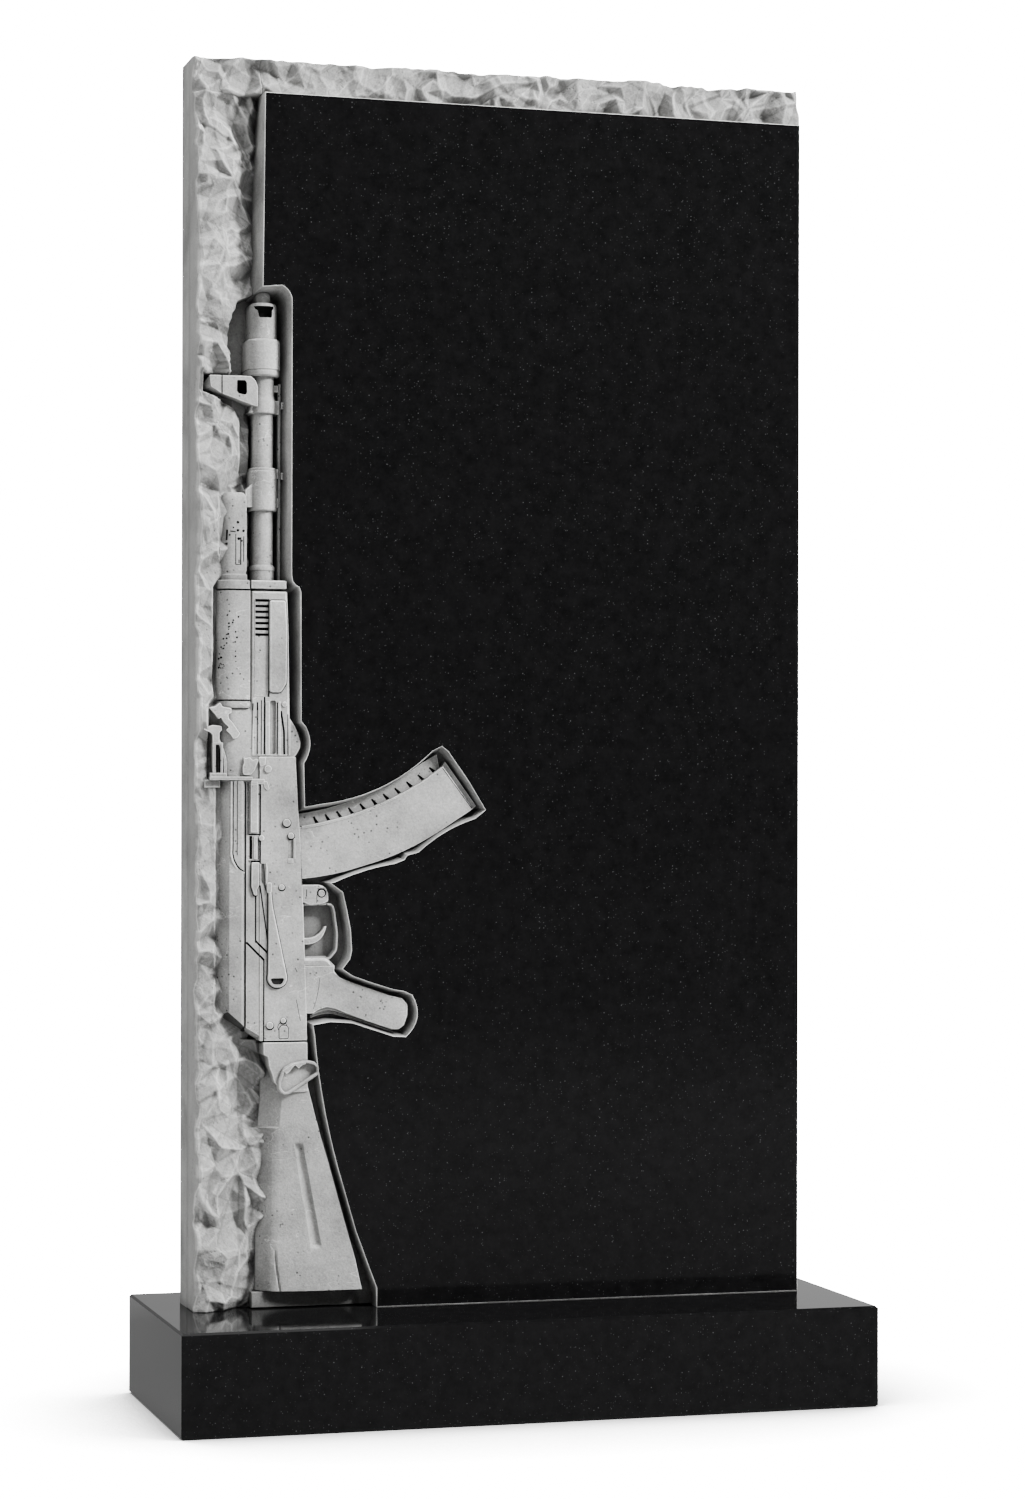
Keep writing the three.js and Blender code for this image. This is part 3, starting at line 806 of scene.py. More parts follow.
RECESS_OUTLINE = np.vstack((
    points((62, 962)), circle((75, 950), 15, 9, 1.35, -1.35)[1:],
    points((90, 692), (91.2, 685.5), (94.4, 682), (97.4, 680.4), (99, 676), (99.5, 554)),
    bow((104, 549), (102, 515), 5, 8), points((103, 473)),
    bow((120, 476), (228, 527), -10, 12), points((237, 531.5), (243, 527), (263, 499), (280, 471.5)),
    bow((270, 463.6), (214, 431.4), -3.5, 6), points((203, 428.5), (200, 424)),
    bow((190, 420.5), (132, 403), -2, 6),
    points((128, 402), (140, 393), (144, 376), (147.5, 358), (148.8, 338), (147, 330)),
    points((139.5, 320.5), (150, 313.6), (170, 306.4), (190, 300.3), (200, 298.6)),
    bow((208, 295), (202, 256), 8, 8), points((190, 256.7), (171, 263), (150, 270), (128.6, 271.4)),
    points((111.4, 268.6)), bow((113, 258.6), (141.7, 113), -4, 8),
    points((153.3, 73), (166.7, 37), (174, 18), (174, 0)),
))


class MEMORIAL_OT_panel(bpy.types.Operator):
    """Makes the polished panel, whose left side follows the rifle with leaning, chiselled walls"""
    bl_idname = "memorial.panel"
    bl_label = "Polished panel"

    wall_lean: bpy.props.FloatProperty(
        name="Wall lean", description="How far the recess wall comes forward at its foot, in millimetres",
        min=0, max=12, default=5.5)

    def execute(self, context):
        outer = points((WIDTH, 0), (WIDTH, HEIGHT - TOP_BORDER), (SIDE_BORDER, HEIGHT - TOP_BORDER))
        outline = np.vstack((outer, RECESS_OUTLINE))
        lean = self.wall_lean * np.interp(outline[:, 1], (240, 275, 530, 560), (1, 1.6, 1.6, 1.45))
        lean[:3] = (0, 0, 0)
        lean[-1] = 0
        flipped = anticlockwise(outline)
        if not np.array_equal(flipped, outline):
            lean = lean[::-1]
        # The panel's rounded edge gets the pale edge material, a painted highlight where the arris catches
        # the light
        panel = carved(flipped, 0, RECESS_DEPTH, edge=0.6, slope=lean, slots=(0, 2, 1))
        make_piece("polished_panel", [panel],
                   [material_named("Polished stone"), material_named("Recess wall"),
                    material_named("Worn edge and painted highlight")], "polished_stone")
        return {"FINISHED"}


class MEMORIAL_OT_rock_border(bpy.types.Operator):
    """Makes the rock-faced border down the left side and along the top"""
    bl_idname = "memorial.rock_border"
    bl_label = "Rock border"

    def execute(self, context):
        step = context.scene.carving_settings.rock_step
        forms, ridges = zip(self.side(step), self.top(step))
        border = make_piece("rock_border", forms, [material_named("Rock face")], "worked_stone",
                            sharp=180, weighted=False)
        # The "ridge" mask makes the rock paler on crests and darker in creases; the darker creases are
        # painted shade
        mask = border.data.attributes.new("ridge", "FLOAT", "POINT")
        mask.data.foreach_set("value", np.concatenate(ridges))
        return {"FINISHED"}

    def right_side(self, up):
        """Where the rock surface ends: under the rifle, or at the broken edge left of the muzzle."""
        inside = np.interp(up, (0, COVER_FOOT, 290, 840), (70, 70, 54, 54))
        end = np.where(up > 840, np.minimum(broken_edge(up), 54 + 12 * smoothstep(950, 966, up)), inside)
        return np.where(up > HEIGHT - TOP_BORDER, SIDE_BORDER, end)

    def side(self, step):
        """A section of left side, rock face and broken right edge, carried up the whole stone."""
        up = np.linspace(0, HEIGHT, int(HEIGHT / step) + 1)
        share = np.linspace(0, 1, int(SIDE_BORDER / step) + 1)
        chip = 2.4 * (1 + 1.3 * lattice_noise(up / 21, 0 * up, 11)) + 0.9 * lattice_noise(up / 6, 0 * up, 12)
        left = np.clip(chip, 0.2, 6)[:, None] * smoothstep(0, 6, up)[:, None]
        right = self.right_side(up)[:, None]
        across = left + (right - left) * share[None]
        depth, ridge = rock_depth(across, np.broadcast_to(up[:, None], across.shape))
        rolled = 1.2 * np.exp(-(share * SIDE_BORDER) / 0.8)
        depth = np.minimum(depth + rolled[None], RECESS_DEPTH - 0.5)
        face = np.stack((across, depth), axis=-1)
        flank = np.array((1, 0.6, 0.3, 0.14, 0.06, 0.02))
        start = depth[:, :1]
        side_depth = start + (RECESS_DEPTH - start) * flank[None]
        side_across = left * (1 - flank[None]) ** 9
        side = np.stack((side_across, side_depth), axis=-1)
        end = np.stack((right + 2.5, np.full_like(right, RECESS_DEPTH)), axis=-1)
        section = np.concatenate((side, face, end), axis=1)
        mask = np.zeros(section.shape[:2])
        mask[:, side.shape[1]:-1] = ridge
        worn = 1.5 * smoothstep(-0.3, 0.3, lattice_noise(up / 11, 0 * up, 15))[:, None]
        mask[:, side.shape[1] - 2:side.shape[1] + 3] += worn
        return swept(section, up), mask.ravel() * CREST_AND_CREASE_SHADE_SHARE

    def top(self, step):
        """The same for the strip over the panel, carried from the side border to the right side."""
        across = np.linspace(SIDE_BORDER, WIDTH, int((WIDTH - SIDE_BORDER) / step) + 1)
        up = np.linspace(HEIGHT - TOP_BORDER - 4, HEIGHT, int((TOP_BORDER + 4) / step) + 1)
        grid_across = np.broadcast_to(across[:, None], (len(across), len(up)))
        grid_up = np.broadcast_to(up[None], grid_across.shape)
        depth, ridge = rock_depth(grid_across, np.maximum(grid_up, HEIGHT - TOP_BORDER + 0.01))
        chip = (1.2 * (1 + lattice_noise(across / 19, 0 * across, 13))
                + 0.6 * lattice_noise(across / 6, 0 * across, 14))
        chip = np.clip(chip, 0.2, 4) * smoothstep(0, 8, WIDTH - across)
        chip = chip * smoothstep(0, 8, across - SIDE_BORDER)
        top_up = grid_up - chip[:, None] * smoothstep(HEIGHT - 8, HEIGHT, grid_up)
        rows = np.stack((grid_across, top_up, depth), axis=-1)
        back = np.stack((grid_across[:, (0, -1)], np.stack((top_up[:, 0], np.full(len(across), HEIGHT)), 1),
                         np.full((len(across), 2), RECESS_DEPTH)), axis=-1)
        loop = np.concatenate((back[:, :1], rows, back[:, 1:]), axis=1)
        rings, around = loop.shape[:2]
        faces = tube_faces(rings, around).tolist()
        faces += [list(range(around)), [around * (rings - 1) + i for i in reversed(range(around))]]
        mask = np.zeros((rings, around))
        mask[:, 1:-1] = ridge
        return (loop.reshape(-1, 3), faces, [0] * len(faces)), mask.ravel() * CREST_AND_CREASE_SHADE_SHARE


class MEMORIAL_OT_barrel(bpy.types.Operator):
    """Carves the muzzle, the front sight, the barrel, the cleaning rod and the gas block"""
    bl_idname = "memorial.barrel"
    bl_label = "Barrel and front sight"

    def execute(self, context):
        self.muzzle()
        self.barrel()
        self.front_sight()
        return {"FINISHED"}

    def muzzle(self):
        """Three turned lengths with a port in the middle one."""
        at, depth = BARREL_ACROSS, BARREL_DEPTH
        forms = [
            rod(at, depth, [(14.4, 879.5), (15.6, 880.8), (15.8, 884.3), (15.5, 884.8), (15.5, 885.6),
                            (16.2, 886.2), (16.2, 911.6), (15.6, 913.4), (14.2, 914.6)]),
            rod(at, depth, [(12.7, 914), (12.8, 944.0), (12.6, 946.6), (11.8, 948.0), (10.4, 948.7)]),
            rod(at, depth, [(6.8, 948), (6.6, 956.0), (5.6, 958.6), (3.4, 959.8)]),
        ]
        port = points((56.6, 945.4), (57.6, 942.8), (59.6, 941.4), (60.8, 935.6), (61.6, 934.6),
                      (72.2, 934.6), (73.2, 936), (73.4, 941.4), (75, 943.4), (75, 945.4))
        # The port's cut faces are painted dark as shade
        carve("carved_muzzle", forms, cuts=[prism(port, 0, 19)])

    def barrel(self):
        """The barrel with its collars, the thin rod beside it and their small clips, and near-black boxes
        deep in the gaps beside them as painted shadow.
        """
        at, depth = BARREL_ACROSS, BARREL_DEPTH
        forms = [
            rod(at, depth, [(10.8, 640), (10.8, 696), (11.4, 697), (11.4, 699.4), (10.6, 701), (9.6, 702),
                            (9.6, 880)]),
            rod(at, depth, [(12.0, 844.6), (12.6, 845.4), (12.6, 855.5), (11.4, 858), (10.5, 862),
                            (10.3, 880)]),
            rod(at, depth, [(12.6, 753), (13.3, 754), (13.3, 789.6), (12.6, 790.6), (12.6, 792.6),
                            (11.8, 793.4)]),
            carved(soften(points((52, 845), (62, 845), (62, 862), (57.6, 862), (55.6, 855)), 2, 3), 15,
                   edge=2),
            drum(at + 16, depth + 2, 1.7, 684, 874, 0.3, sides=10),
            box(at + 9, at + 14, 865.6, 872, depth - 3), box(at + 9, at + 15, 844.6, 857.5, depth - 3),
            box(at + 17, at + 20.5, 850, 856.4, depth - 2), box(at + 10, at + 14.5, 756.5, 765.5, depth - 3),
            box(at + 10, at + 14.5, 784, 793, depth - 3), box(at + 17, at + 20, 783.4, 790, depth - 2),
        ]
        carve("carved_barrel", forms)
        # Near-black boxes set deep in the gaps beside the barrel and the gas tube: painted shadow
        dark = [box(at + 8, at + 15, 686, 880, RECESS_DEPTH - 5, edge=0.1),
                box(50.5, at - 6, 686, 757, 33, edge=0.1)]
        make_piece("barrel_painted_shadows", dark, [material_named("Painted shadow")] * 2, "worked_stone")

    def front_sight(self):
        """A tall block with a window, and an end that slopes back to the left."""
        outline = soften(points((13.2, 878.6), (14.6, 867.6), (24.0, 862.0), (54.5, 851.6), (59.6, 850.4),
                                (59.6, 869.5), (57.2, 875), (53, 878.8)), 0.9, 3)
        tower = carved(outline, 9, ROOT, edge=0.9)
        end = loft_end(points((13.4, 878), (14.6, 867.6), (24, 862.2)),
                       points((8.0, 869.6), (9.8, 865.6), (24, 861.2)), 9.4, 20, 26)
        window = soften(points((39.6, 874.6), (39.4, 864), (41.2, 862.0), (47.8, 861.0), (49.1, 863),
                               (49.0, 872.6), (47.2, 874.8)), 1.2, 3)
        # The window's cut faces are painted dark as shade
        carve("carved_front_sight", [tower], cuts=[
            prism(window, 4, 24), groove([(25.2, 885), (25.2, 858)], 1.3, 9, 1.2)],
            raised=[end])


class MEMORIAL_OT_handguard(bpy.types.Operator):
    """Carves the gas tube, both handguards with their ribs and slots, and the retainer"""
    bl_idname = "memorial.handguard"
    bl_label = "Handguards"

    def execute(self, context):
        self.gas_tube()
        self.upper()
        self.lower()
        return {"FINISHED"}

    def gas_tube(self):
        """A tube whose right half runs flat, with its slots and pits."""
        at, depth, radius = TUBE_ACROSS, TUBE_DEPTH, 12.9
        tube = [
            rod(at, depth, [(12.4, 685), (13.2, 686.6), (13.2, 691.6), (12.4, 692.6), (12.3, 694),
                            (radius, 696), (radius, 761.6), (12.5, 764.8), (11.6, 767.4), (10.4, 768.8),
                            (9.2, 769.4)], right=49.6),
            carved(points((48.4, 756), (60, 756), (60, 783), (49, 771.8)), 15, edge=1.2),
        ]
        marks = [groove([(38.6, 701), (38.6, 730)], 0.9, 9.2, 1.0),
                 groove([(43.4, 701), (43.4, 727)], 1.2, 10.2, 1.2),
                 groove([(46.2, 704), (46.2, 728)], 0.9, 11.6, 1.2),
                 groove([(38.6, 701.4), (43.4, 701.4)], 0.8, 9.4, 1),
                 groove([(30.4, 724), (30.8, 734)], 1.6, 11.4, 1.4),
                 groove([(33.4, 732.6), (38.6, 732)], 1.2, 9.8, 1)]
        for across, up, size in ((40.6, 741, 1.5), (40.6, 733.4, 1.4), (46, 733, 1.4), (41.4, 725.6, 1.6),
                                 (44.4, 723.6, 1.1), (30, 720.4, 1.4), (33, 729, 1.0), (36.4, 736, 0.9)):
            marks.append(pit(across, up, size, on_rod(across, at, depth, radius), 1.5))
        carve("carved_gas_tube", tube, cuts=marks)

    def upper(self):
        """A larger tube with trails of pits down it."""
        at, depth, radius = TUBE_ACROSS, 20.5, 16.9
        forms = [
            rod(at, depth, [(15.9, 566.4), (16.6, 567.4), (radius, 569.0), (radius, 676.2), (16.5, 678.0),
                            (16.3, 686), (15.0, 686.8)], right=51.8),
        ]
        rng = np.random.default_rng(41)
        marks = [prism(corners(10, 53, 676.6, 678.4), 0, 21), prism(corners(10, 53, 572.8, 574.4), 0, 20),
                 prism(corners(10, 53, 565, 566.4), 0, 20)]
        trails = (bow((24.5, 604), (38, 652), 4.0, 14), bow((28, 622), (30, 668), -3.0, 9),
                  bow((44, 592), (38, 640), 3.0, 8))
        for trail in trails:
            for across, up in trail + rng.normal(0, 1.1, trail.shape):
                size = rng.uniform(0.55, 1.15)
                marks.append(pit(across, up, size, on_rod(across, at, depth, radius), 1.2))
        for angle in np.linspace(0, 5.2, 7):
            across, up = 25.4 + 1.9 * math.cos(angle), 605.6 + 1.9 * math.sin(angle)
            marks.append(pit(across, up, 0.7, on_rod(across, at, depth, radius), 0.7))
        carve("carved_upper_handguard", forms, cuts=marks)

    def lower(self):
        """A flat body with a slotted channel, ribs and a raised panel."""
        right_panel = soften(points((70.2, 583), (72.2, 581.2), (81, 581.2), (86.6, 590), (87.2, 640),
                                    (85.6, 668), (70.2, 668)), 2.4, 4)
        body = soften(points((53.2, 521), (89.5, 521), (90, 560), (88.8, 640), (87.2, 676.6),
                             (53.2, 676.6)), 1.2, 3)
        forms = [carved(body, 4.6, edge=2.4, steps=4)]
        cuts = [prism(soften(corners(56.4, 70.2, 577, 668.6), 0.8, 2), 0, 6.2, 1)]
        # The seven slots' cut faces are painted dark as shade
        cuts += [prism(corners(56.4, 70.2, 634.4 + 5.35 * i, 637.0 + 5.35 * i), 0, 11)
                 for i in range(7)]
        cuts += [
            prism(soften(corners(70.8, 76.6, 523.4, 574), 2.5, 4), 0, 7.2, 1),
            moat(right_panel, 0.9, 4.6, 2.6), prism(corners(50, 92, 676.4, 678.4), 0, 12),
            groove([(52.8, 523), (54.6, 571)], 1.2, 5, 1.6), groove([(58.6, 523), (58.8, 572)], 1.5, 5, 1.8),
            groove([(62.4, 523), (62.6, 574)], 1.0, 5, 1.6), groove([(65.4, 523), (65.6, 577)], 1.6, 5, 2.4),
            groove([(77.6, 523), (77.8, 572)], 1.2, 5, 2.0),
            groove([(84.6, 523), (84.2, 545), (81.4, 564)], 2.0, 5, 2.2),
            groove([(88.0, 522), (88.0, 561)], 1.0, 5, 1.6), groove([(69.8, 577), (69.8, 634)], 1.0, 5, 2.4),
            groove([(55.4, 577), (55.4, 668)], 0.6, 5, 1.2),
        ]
        rng = np.random.default_rng(43)
        for across, up in np.vstack((bow((72.4, 597), (72.0, 622), 0.5, 8),
                                     bow((76.6, 640), (75.4, 660), 1.0, 8))):
            size = rng.uniform(0.6, 1.1)
            cuts.append(pit(across + rng.normal(0, 0.4), up + rng.normal(0, 0.8), size, 3.4, 1.4))
        raised = [
            carved(right_panel, 2.6, edge=1.4, steps=3),
            carved(soften(corners(52.6, 86.4, 678.8, 686.6), 0.8, 2), 4.0, edge=1.2, steps=3),
            carved(soften(points((88, 559), (90.6, 557), (95.4, 550), (99.4, 541), (101, 535),
                                 (100.6, 529.6), (97, 523),
                                 (94.4, 519.8), (88, 519.8)), 1.2, 3), 6.4, edge=1.6, steps=3),
            box(66.6, 70.6, 522, 573, 3.8), box(78.6, 81.0, 522, 573, 3.8), box(89.0, 90.6, 522, 556, 4.6),
            box(50.6, 53.4, 520, 572, 6.8), boss(84.6, 570.4, 2.6, 3.0),
            carved(np.vstack((bow((58, 673.6), (70, 673.6), -0.6, 5),
                              bow((70, 674.8), (58, 674.8), -0.6, 5))), 4.4, edge=0.2),
        ]
        carve("carved_lower_handguard", forms, cuts=cuts, raised=raised)
        # A near-black box in the gap left of the lower handguard: painted shadow
        make_piece("handguard_painted_shadow", [box(49.6, 54.2, 519, 688, 16, edge=0.02)],
                   [material_named("Painted shadow")] * 2, "worked_stone")


class MEMORIAL_OT_rear_sight(bpy.types.Operator):
    """Carves the rear sight with its lever, post, frame and ledge"""
    bl_idname = "memorial.rear_sight"
    bl_label = "Rear sight"

    def execute(self, context):
        base = [rod(TUBE_ACROSS, 24, [(18.0, 497), (18.0, 563), (17.0, 565.6)], right=61)]
        post = soften(corners(16.6, 26.4, 502.4, 534), 0.8, 2)
        strut = soften(points((24.6, 545), (22.6, 543.4), (22.8, 538), (27.4, 527), (29.8, 519),
                              (30.2, 502), (27.4, 502),
                              (27.2, 518), (25.4, 525), (20.6, 536), (20.4, 545)), 0.8, 2)
        raised = [
            carved(soften(points(
                (12.4, 566.4), (18.2, 567.6), (22.8, 571.4), (25.4, 567.4), (33.6, 566.2), (33.8, 561.6),
                (30.8, 560.4), (31.2, 556.4), (34.6, 553), (42.2, 542.4), (39.6, 538.4), (35.6, 537.2),
                (32.4, 541.8),
                (28.6, 545.6), (31.4, 548), (27, 552), (23.6, 557.4), (21.4, 555.6), (17.6, 560.6)), 0.9, 2),
                3.0, 12, edge=0.9),
            carved(soften(points((8, 545.8), (14, 543.6), (16.4, 541), (16.8, 533), (22.8, 533), (23, 543.5),
                                 (25.4, 545.4), (25, 549.4), (16, 550.2), (8, 547.4)), 1.0, 2), 6.0, 13,
                                 edge=0.8),
            carved(strut, 7.0, 30, edge=0.7),
            box(13.5, 54, 498.6, 502, 3.4, edge=0.7), box(53, 66, 495, 500, 3.8, edge=0.9),
            box(14, 30, 501, 505.4, 5, edge=0.8), box(9, 24.4, 491.6, 499, 9, edge=1.2),
            carved(soften(points((64, 498), (65.4, 491.4), (68.6, 488.6), (70.6, 490.6), (68.2, 498)),
                          1, 2), 3.4),
            carved(soften(points((45, 520.5), (46, 515), (44.6, 512), (44.6, 505), (46.4, 503.4),
                                 (52.4, 503.4), (56, 508), (60, 518), (58, 519), (54, 517.6), (51.5, 520.6),
                                 (47.6, 519.4)), 1.0, 3),
                   3.0, 30, edge=0.9),
            carved(soften(points((59.4, 520.5), (61.4, 511), (66.4, 513), (67, 520.5)), 1.2, 2), 3.2),
            boss(68.8, 509.3, 3.5, 2.6),
        ]
        carve("carved_rear_sight", base)
        carve("carved_rear_sight_post", [carved(post, 6.4, 34, edge=0.6)],
              cuts=[prism(soften(corners(19.4, 24.0, 504.6, 532), 0.6, 2), 0, 20)], raised=raised)
        return {"FINISHED"}


class MEMORIAL_OT_receiver(bpy.types.Operator):
    """Carves the receiver, its faceted top cover, the bolt, the selector lever and the rivets"""
    bl_idname = "memorial.receiver"
    bl_label = "Receiver"

    def execute(self, context):
        self.cover()
        self.plates()
        return {"FINISHED"}

    def cover(self):
        """The top cover's section is four flats between the left side and the rail. Its lower end is
        cut on the slant and leans out towards the back, so each section point has its own lowest height."""
        section = points((22.0, ROOT), (22.0, 24), (22.6, 20), (24.2, 16), (31.2, 7.0), (32.6, 5.6),
                         (43.6, 3.2), (44.8, 3.6), (47.2, 7.4), (47.2, ROOT))
        low = np.interp(section[:, 0], (22, 31.7, 48), (281, 281, 266.4))
        low = low - 0.42 * np.clip(section[:, 1] - 7, 0, 16) - (section[:, 1] > 40) * 3
        share = np.linspace(0, 1, 40)[:, None]
        heights = low[None] + (498 - low[None]) * share
        verts = np.stack((np.broadcast_to(section[:, 0], heights.shape), heights,
                          np.broadcast_to(section[:, 1], heights.shape)), axis=-1)
        rings, around = heights.shape
        faces = tube_faces(rings, around)[:, ::-1].tolist()
        faces += [list(reversed(range(around))), [around * (rings - 1) + i for i in range(around)]]
        bend = np.vstack((points((35.6, 498), (35.6, 436)), bow((35.4, 431), (42.4, 415), -1.6, 6),
                          points((48, 412))))
        marks = [0] * len(faces)
        # The slanted lower end face gets the dark shaded stone: painted shade
        marks[-2] = 2
        ridge = bend + (-1.5, -0.7)
        stones = [material_named(kind) for kind in ("Carved stone", "Worn edge and painted highlight", "Shaded stone")]
        make_piece("carved_cover", [(verts.reshape(-1, 3), faces, marks)], stones, "worked_stone",
                   cuts=[groove(bend, 1.5, 5.2, 1.6), groove([(39.6, 498), (39.6, 428)], 1.0, 4.4, 0.7, 1)],
                   raised=[carved(band(ridge, 1.7), 3.9, 12, edge=0.6)], sharp=20)

    def plates(self):
        """The receiver's two plates with their grooves, and what stands on them."""
        body = soften(points((61, 521), (61.5, 253.6), (107.2, 253.6), (106.4, 290), (101.3, 430),
                             (98.4, 468), (95.5, 521)), 0.8, 2)
        left = points((48.6, 497), (48.6, 266.2), (66, 255.4), (66, 330), (62, 420), (62, 497))
        under = loft_end(points((48.6, 266), (66, 255.2)), points((49.2, 262.6), (65.2, 252.4)), 6.4, 20)
        forms = [carved(body, 4.4, edge=0.8), carved(left, 5.4, edge=0.6)]
        # Cuts not marked 1 leave faces painted dark as shade
        cuts = [
            groove([(61.6, 500), (61.6, 420)], 1.6, 4.4, 2.6),
            groove([(48.7, 346.5), (65.2, 330)], 2.0, 5.4, 2.8),
            groove([(57.6, 347.6), (71.6, 333.6)], 2.0, 4.4, 3.0),
            groove([(65.3, 331), (65.3, 250)], 1.4, 4.4, 2.6),
            groove([(57.6, 346), (57.6, 398)], 1.5, 5.4, 2.2),
            groove([(61.4, 400), (65.4, 372), (69.4, 345)], 1.4, 4.4, 2.2),
            prism(points((62.6, 420.6), (62.8, 404), (64.6, 400), (70.2, 388), (71, 391), (67.2, 399),
                         (65.4, 420.6)),
                   0, 7, 1),
            prism(corners(51.4, 54.2, 424.6, 446.4), 0, 8.4),
            groove([(50.2, 497), (50.2, 447)], 2.6, 5.4, 2.4, 1),
            groove([(51, 447.6), (61, 447.6)], 1.4, 5.4, 3.0),
            groove([(50.4, 422.8), (61, 422.8)], 1.2, 5.4, 2.0),
            groove([(60, 444), (60, 424)], 1.0, 5.4, 2.2),
            prism(soften(corners(88.4, 93.4, 425.4, 444), 0.8, 2), 0, 5.8, 1),
            groove([(99.4, 470), (100.8, 436), (101.9, 400)], 0.8, 4.4, 2.0),
            groove([(97.4, 318), (95.4, 322)], 0.7, 4.4, 0.7),
            groove([(96.6, 292), (100.6, 272)], 0.6, 4.4, 0.6),
            groove(soften(circle((83.4, 266.4), 4.6, 12), 0.1, 1)[:20], 0.7, 4.4, 0.8),
        ]
        selector = np.vstack((circle((78.0, 312.8), 9.4, 18, math.radians(-196), math.radians(214)),
                              points((80.6, 346), (73.4, 380), (72.0, 394), (69.4, 394), (69.4, 346))))
        outline = anticlockwise(soften(selector, 0.5, 1))
        cuts.append(moat(outline, 1.1, 4.4, 3.0))
        dish = soften(points((70.8, 312.6), (73.5, 306.6), (82, 306.6), (85.0, 312.6)), 2.6, 4)
        hook = soften(points((53.4, 421.6), (53.0, 399), (55.8, 390.4), (58.8, 390.4), (58.6, 396),
                             (60.6, 400), (60.6, 421.6)), 1.2, 3)
        cuts.append(moat(hook, 1.0, 4.4, 3.4))
        catch = soften(points((80.5, 255.8), (88.4, 255.8), (88.6, 265.6), (86.6, 267.6), (82.2, 267.6),
                              (80.3, 265)), 1, 2)
        cuts.append(moat(catch, 0.8, 4.4, 2.0))
        rivets = ((86.8, 458.8, 3.7, 2.2), (91.0, 446.6, 3.0, 2.4), (82.2, 398.2, 2.8, 3.0),
                  (71, 268.2, 3.4, 2.6), (83.9, 272.6, 2.6, 3.0))
        for across, up, radius, _ in rivets:
            cuts.append(prism(circle((across + 0.3, up - 0.6), radius + 0.8, 16), 0, 6.8))
        raised = [boss(*rivet) for rivet in rivets]
        raised += [
            under, boss(62.8, 444.4, 2.6, 2.6), carved(hook, 2.6, 20, edge=0.9),
            carved(catch, 3.8, 20, edge=0.5),
            carved(soften(corners(67.6, 72.6, 392.4, 402.8), 2.2, 4), 1.8, 20, edge=1.0, steps=3),
            carved(soften(points((66.6, 421), (66.6, 400), (68.4, 400), (68.9, 416), (67.8, 421)), 0.6, 2),
                   3.2, 20),
            box(52.4, 59.4, 449.4, 497.6, 3.6, edge=0.9), box(55.6, 59.0, 424.6, 445.6, 4.2, edge=0.7),
            box(93.6, 95.4, 424.6, 444, 3.6, 20, edge=0.5), box(88.4, 93.4, 420.6, 425.0, 3.6, 20, edge=0.6),
        ]
        carve("carved_receiver", forms, cuts=cuts, raised=raised)
        carve("carved_selector", [carved(outline, 1.5, 20, edge=1.3, steps=3)], cuts=[prism(dish, 0, 3.6)])
        # Near-black boxes in the gaps beside the cover and under the receiver: painted shadow
        make_piece("receiver_painted_shadow", [box(47.0, 49.2, 262, 498, 15, edge=0.02),
                                    box(62, 107.4, 250.8, 254.2, 12, edge=0.02)],
                   [material_named("Painted shadow")] * 2, "worked_stone")


class MEMORIAL_OT_magazine(bpy.types.Operator):
    """Carves the curved magazine, its notched shelf and its base plate"""
    bl_idname = "memorial.magazine"
    bl_label = "Magazine"

    notches: bpy.props.IntProperty(name="Notches", description="Dark notches along the shelf",
                                   min=0, max=24, default=11)

    def execute(self, context):
        face = np.vstack((bow((94, 405.2), (143, 412.4), -1.0, 6),
                          bow((161.5, 417.8), (241.5, 454), -3.5, 10),
                          points((269.8, 472.4), (240, 513)), bow((221, 499), (102, 454.9), 6.5, 14),
                          points((94, 454))))
        shelf = np.vstack((points((94, 440), (165, 452), (240, 500), (235.4, 524.6)),
                           bow((221.5, 516.8), (100, 467.2), 8.0, 14), points((94, 466.8))))
        plate = points((239, 511.4), (269.6, 471.6), (273.6, 475.4), (242.6, 517.6))
        ridge = np.vstack((bow((102, 453.0), (219, 496.4), -6.5, 14), points((238.4, 509.8), (240, 513.2)),
                           bow((221, 499.4), (102, 455.6), 6.5, 14)))
        cuts = [groove([(238.8, 512), (268.6, 472.8)], 0.8, 6.4, 1.4)]
        share = (np.arange(self.notches) + 0.5) / self.notches
        at = np.column_stack((111.0 + 126 * share, 459.8 + 20 * share + 33.0 * share ** 2))
        lean = np.arctan(0.16 + 0.47 * share) + math.radians(20)
        for (across, up), angle in zip(at, lean):
            turn = np.array(((math.cos(angle), math.sin(angle)), (-math.sin(angle), math.cos(angle))))
            notch = points((-1.9, -4.4), (2.0, -4.4), (1.0, 4.4), (-0.7, 4.4)) @ turn + (across, up)
            # Each notch's cut faces are painted dark as shade
            cuts.append(prism(notch, 5, 16))
        carve("carved_magazine", [carved(face, 6.4, edge=0.8)],
              cuts=cuts[:1], raised=[carved(ridge, 5.6, 20, edge=0.5), carved(plate, 9, edge=0.8)])
        carve("magazine_shelf", [carved(shelf, 12.5, edge=0.8)], cuts=cuts[1:])
        return {"FINISHED"}


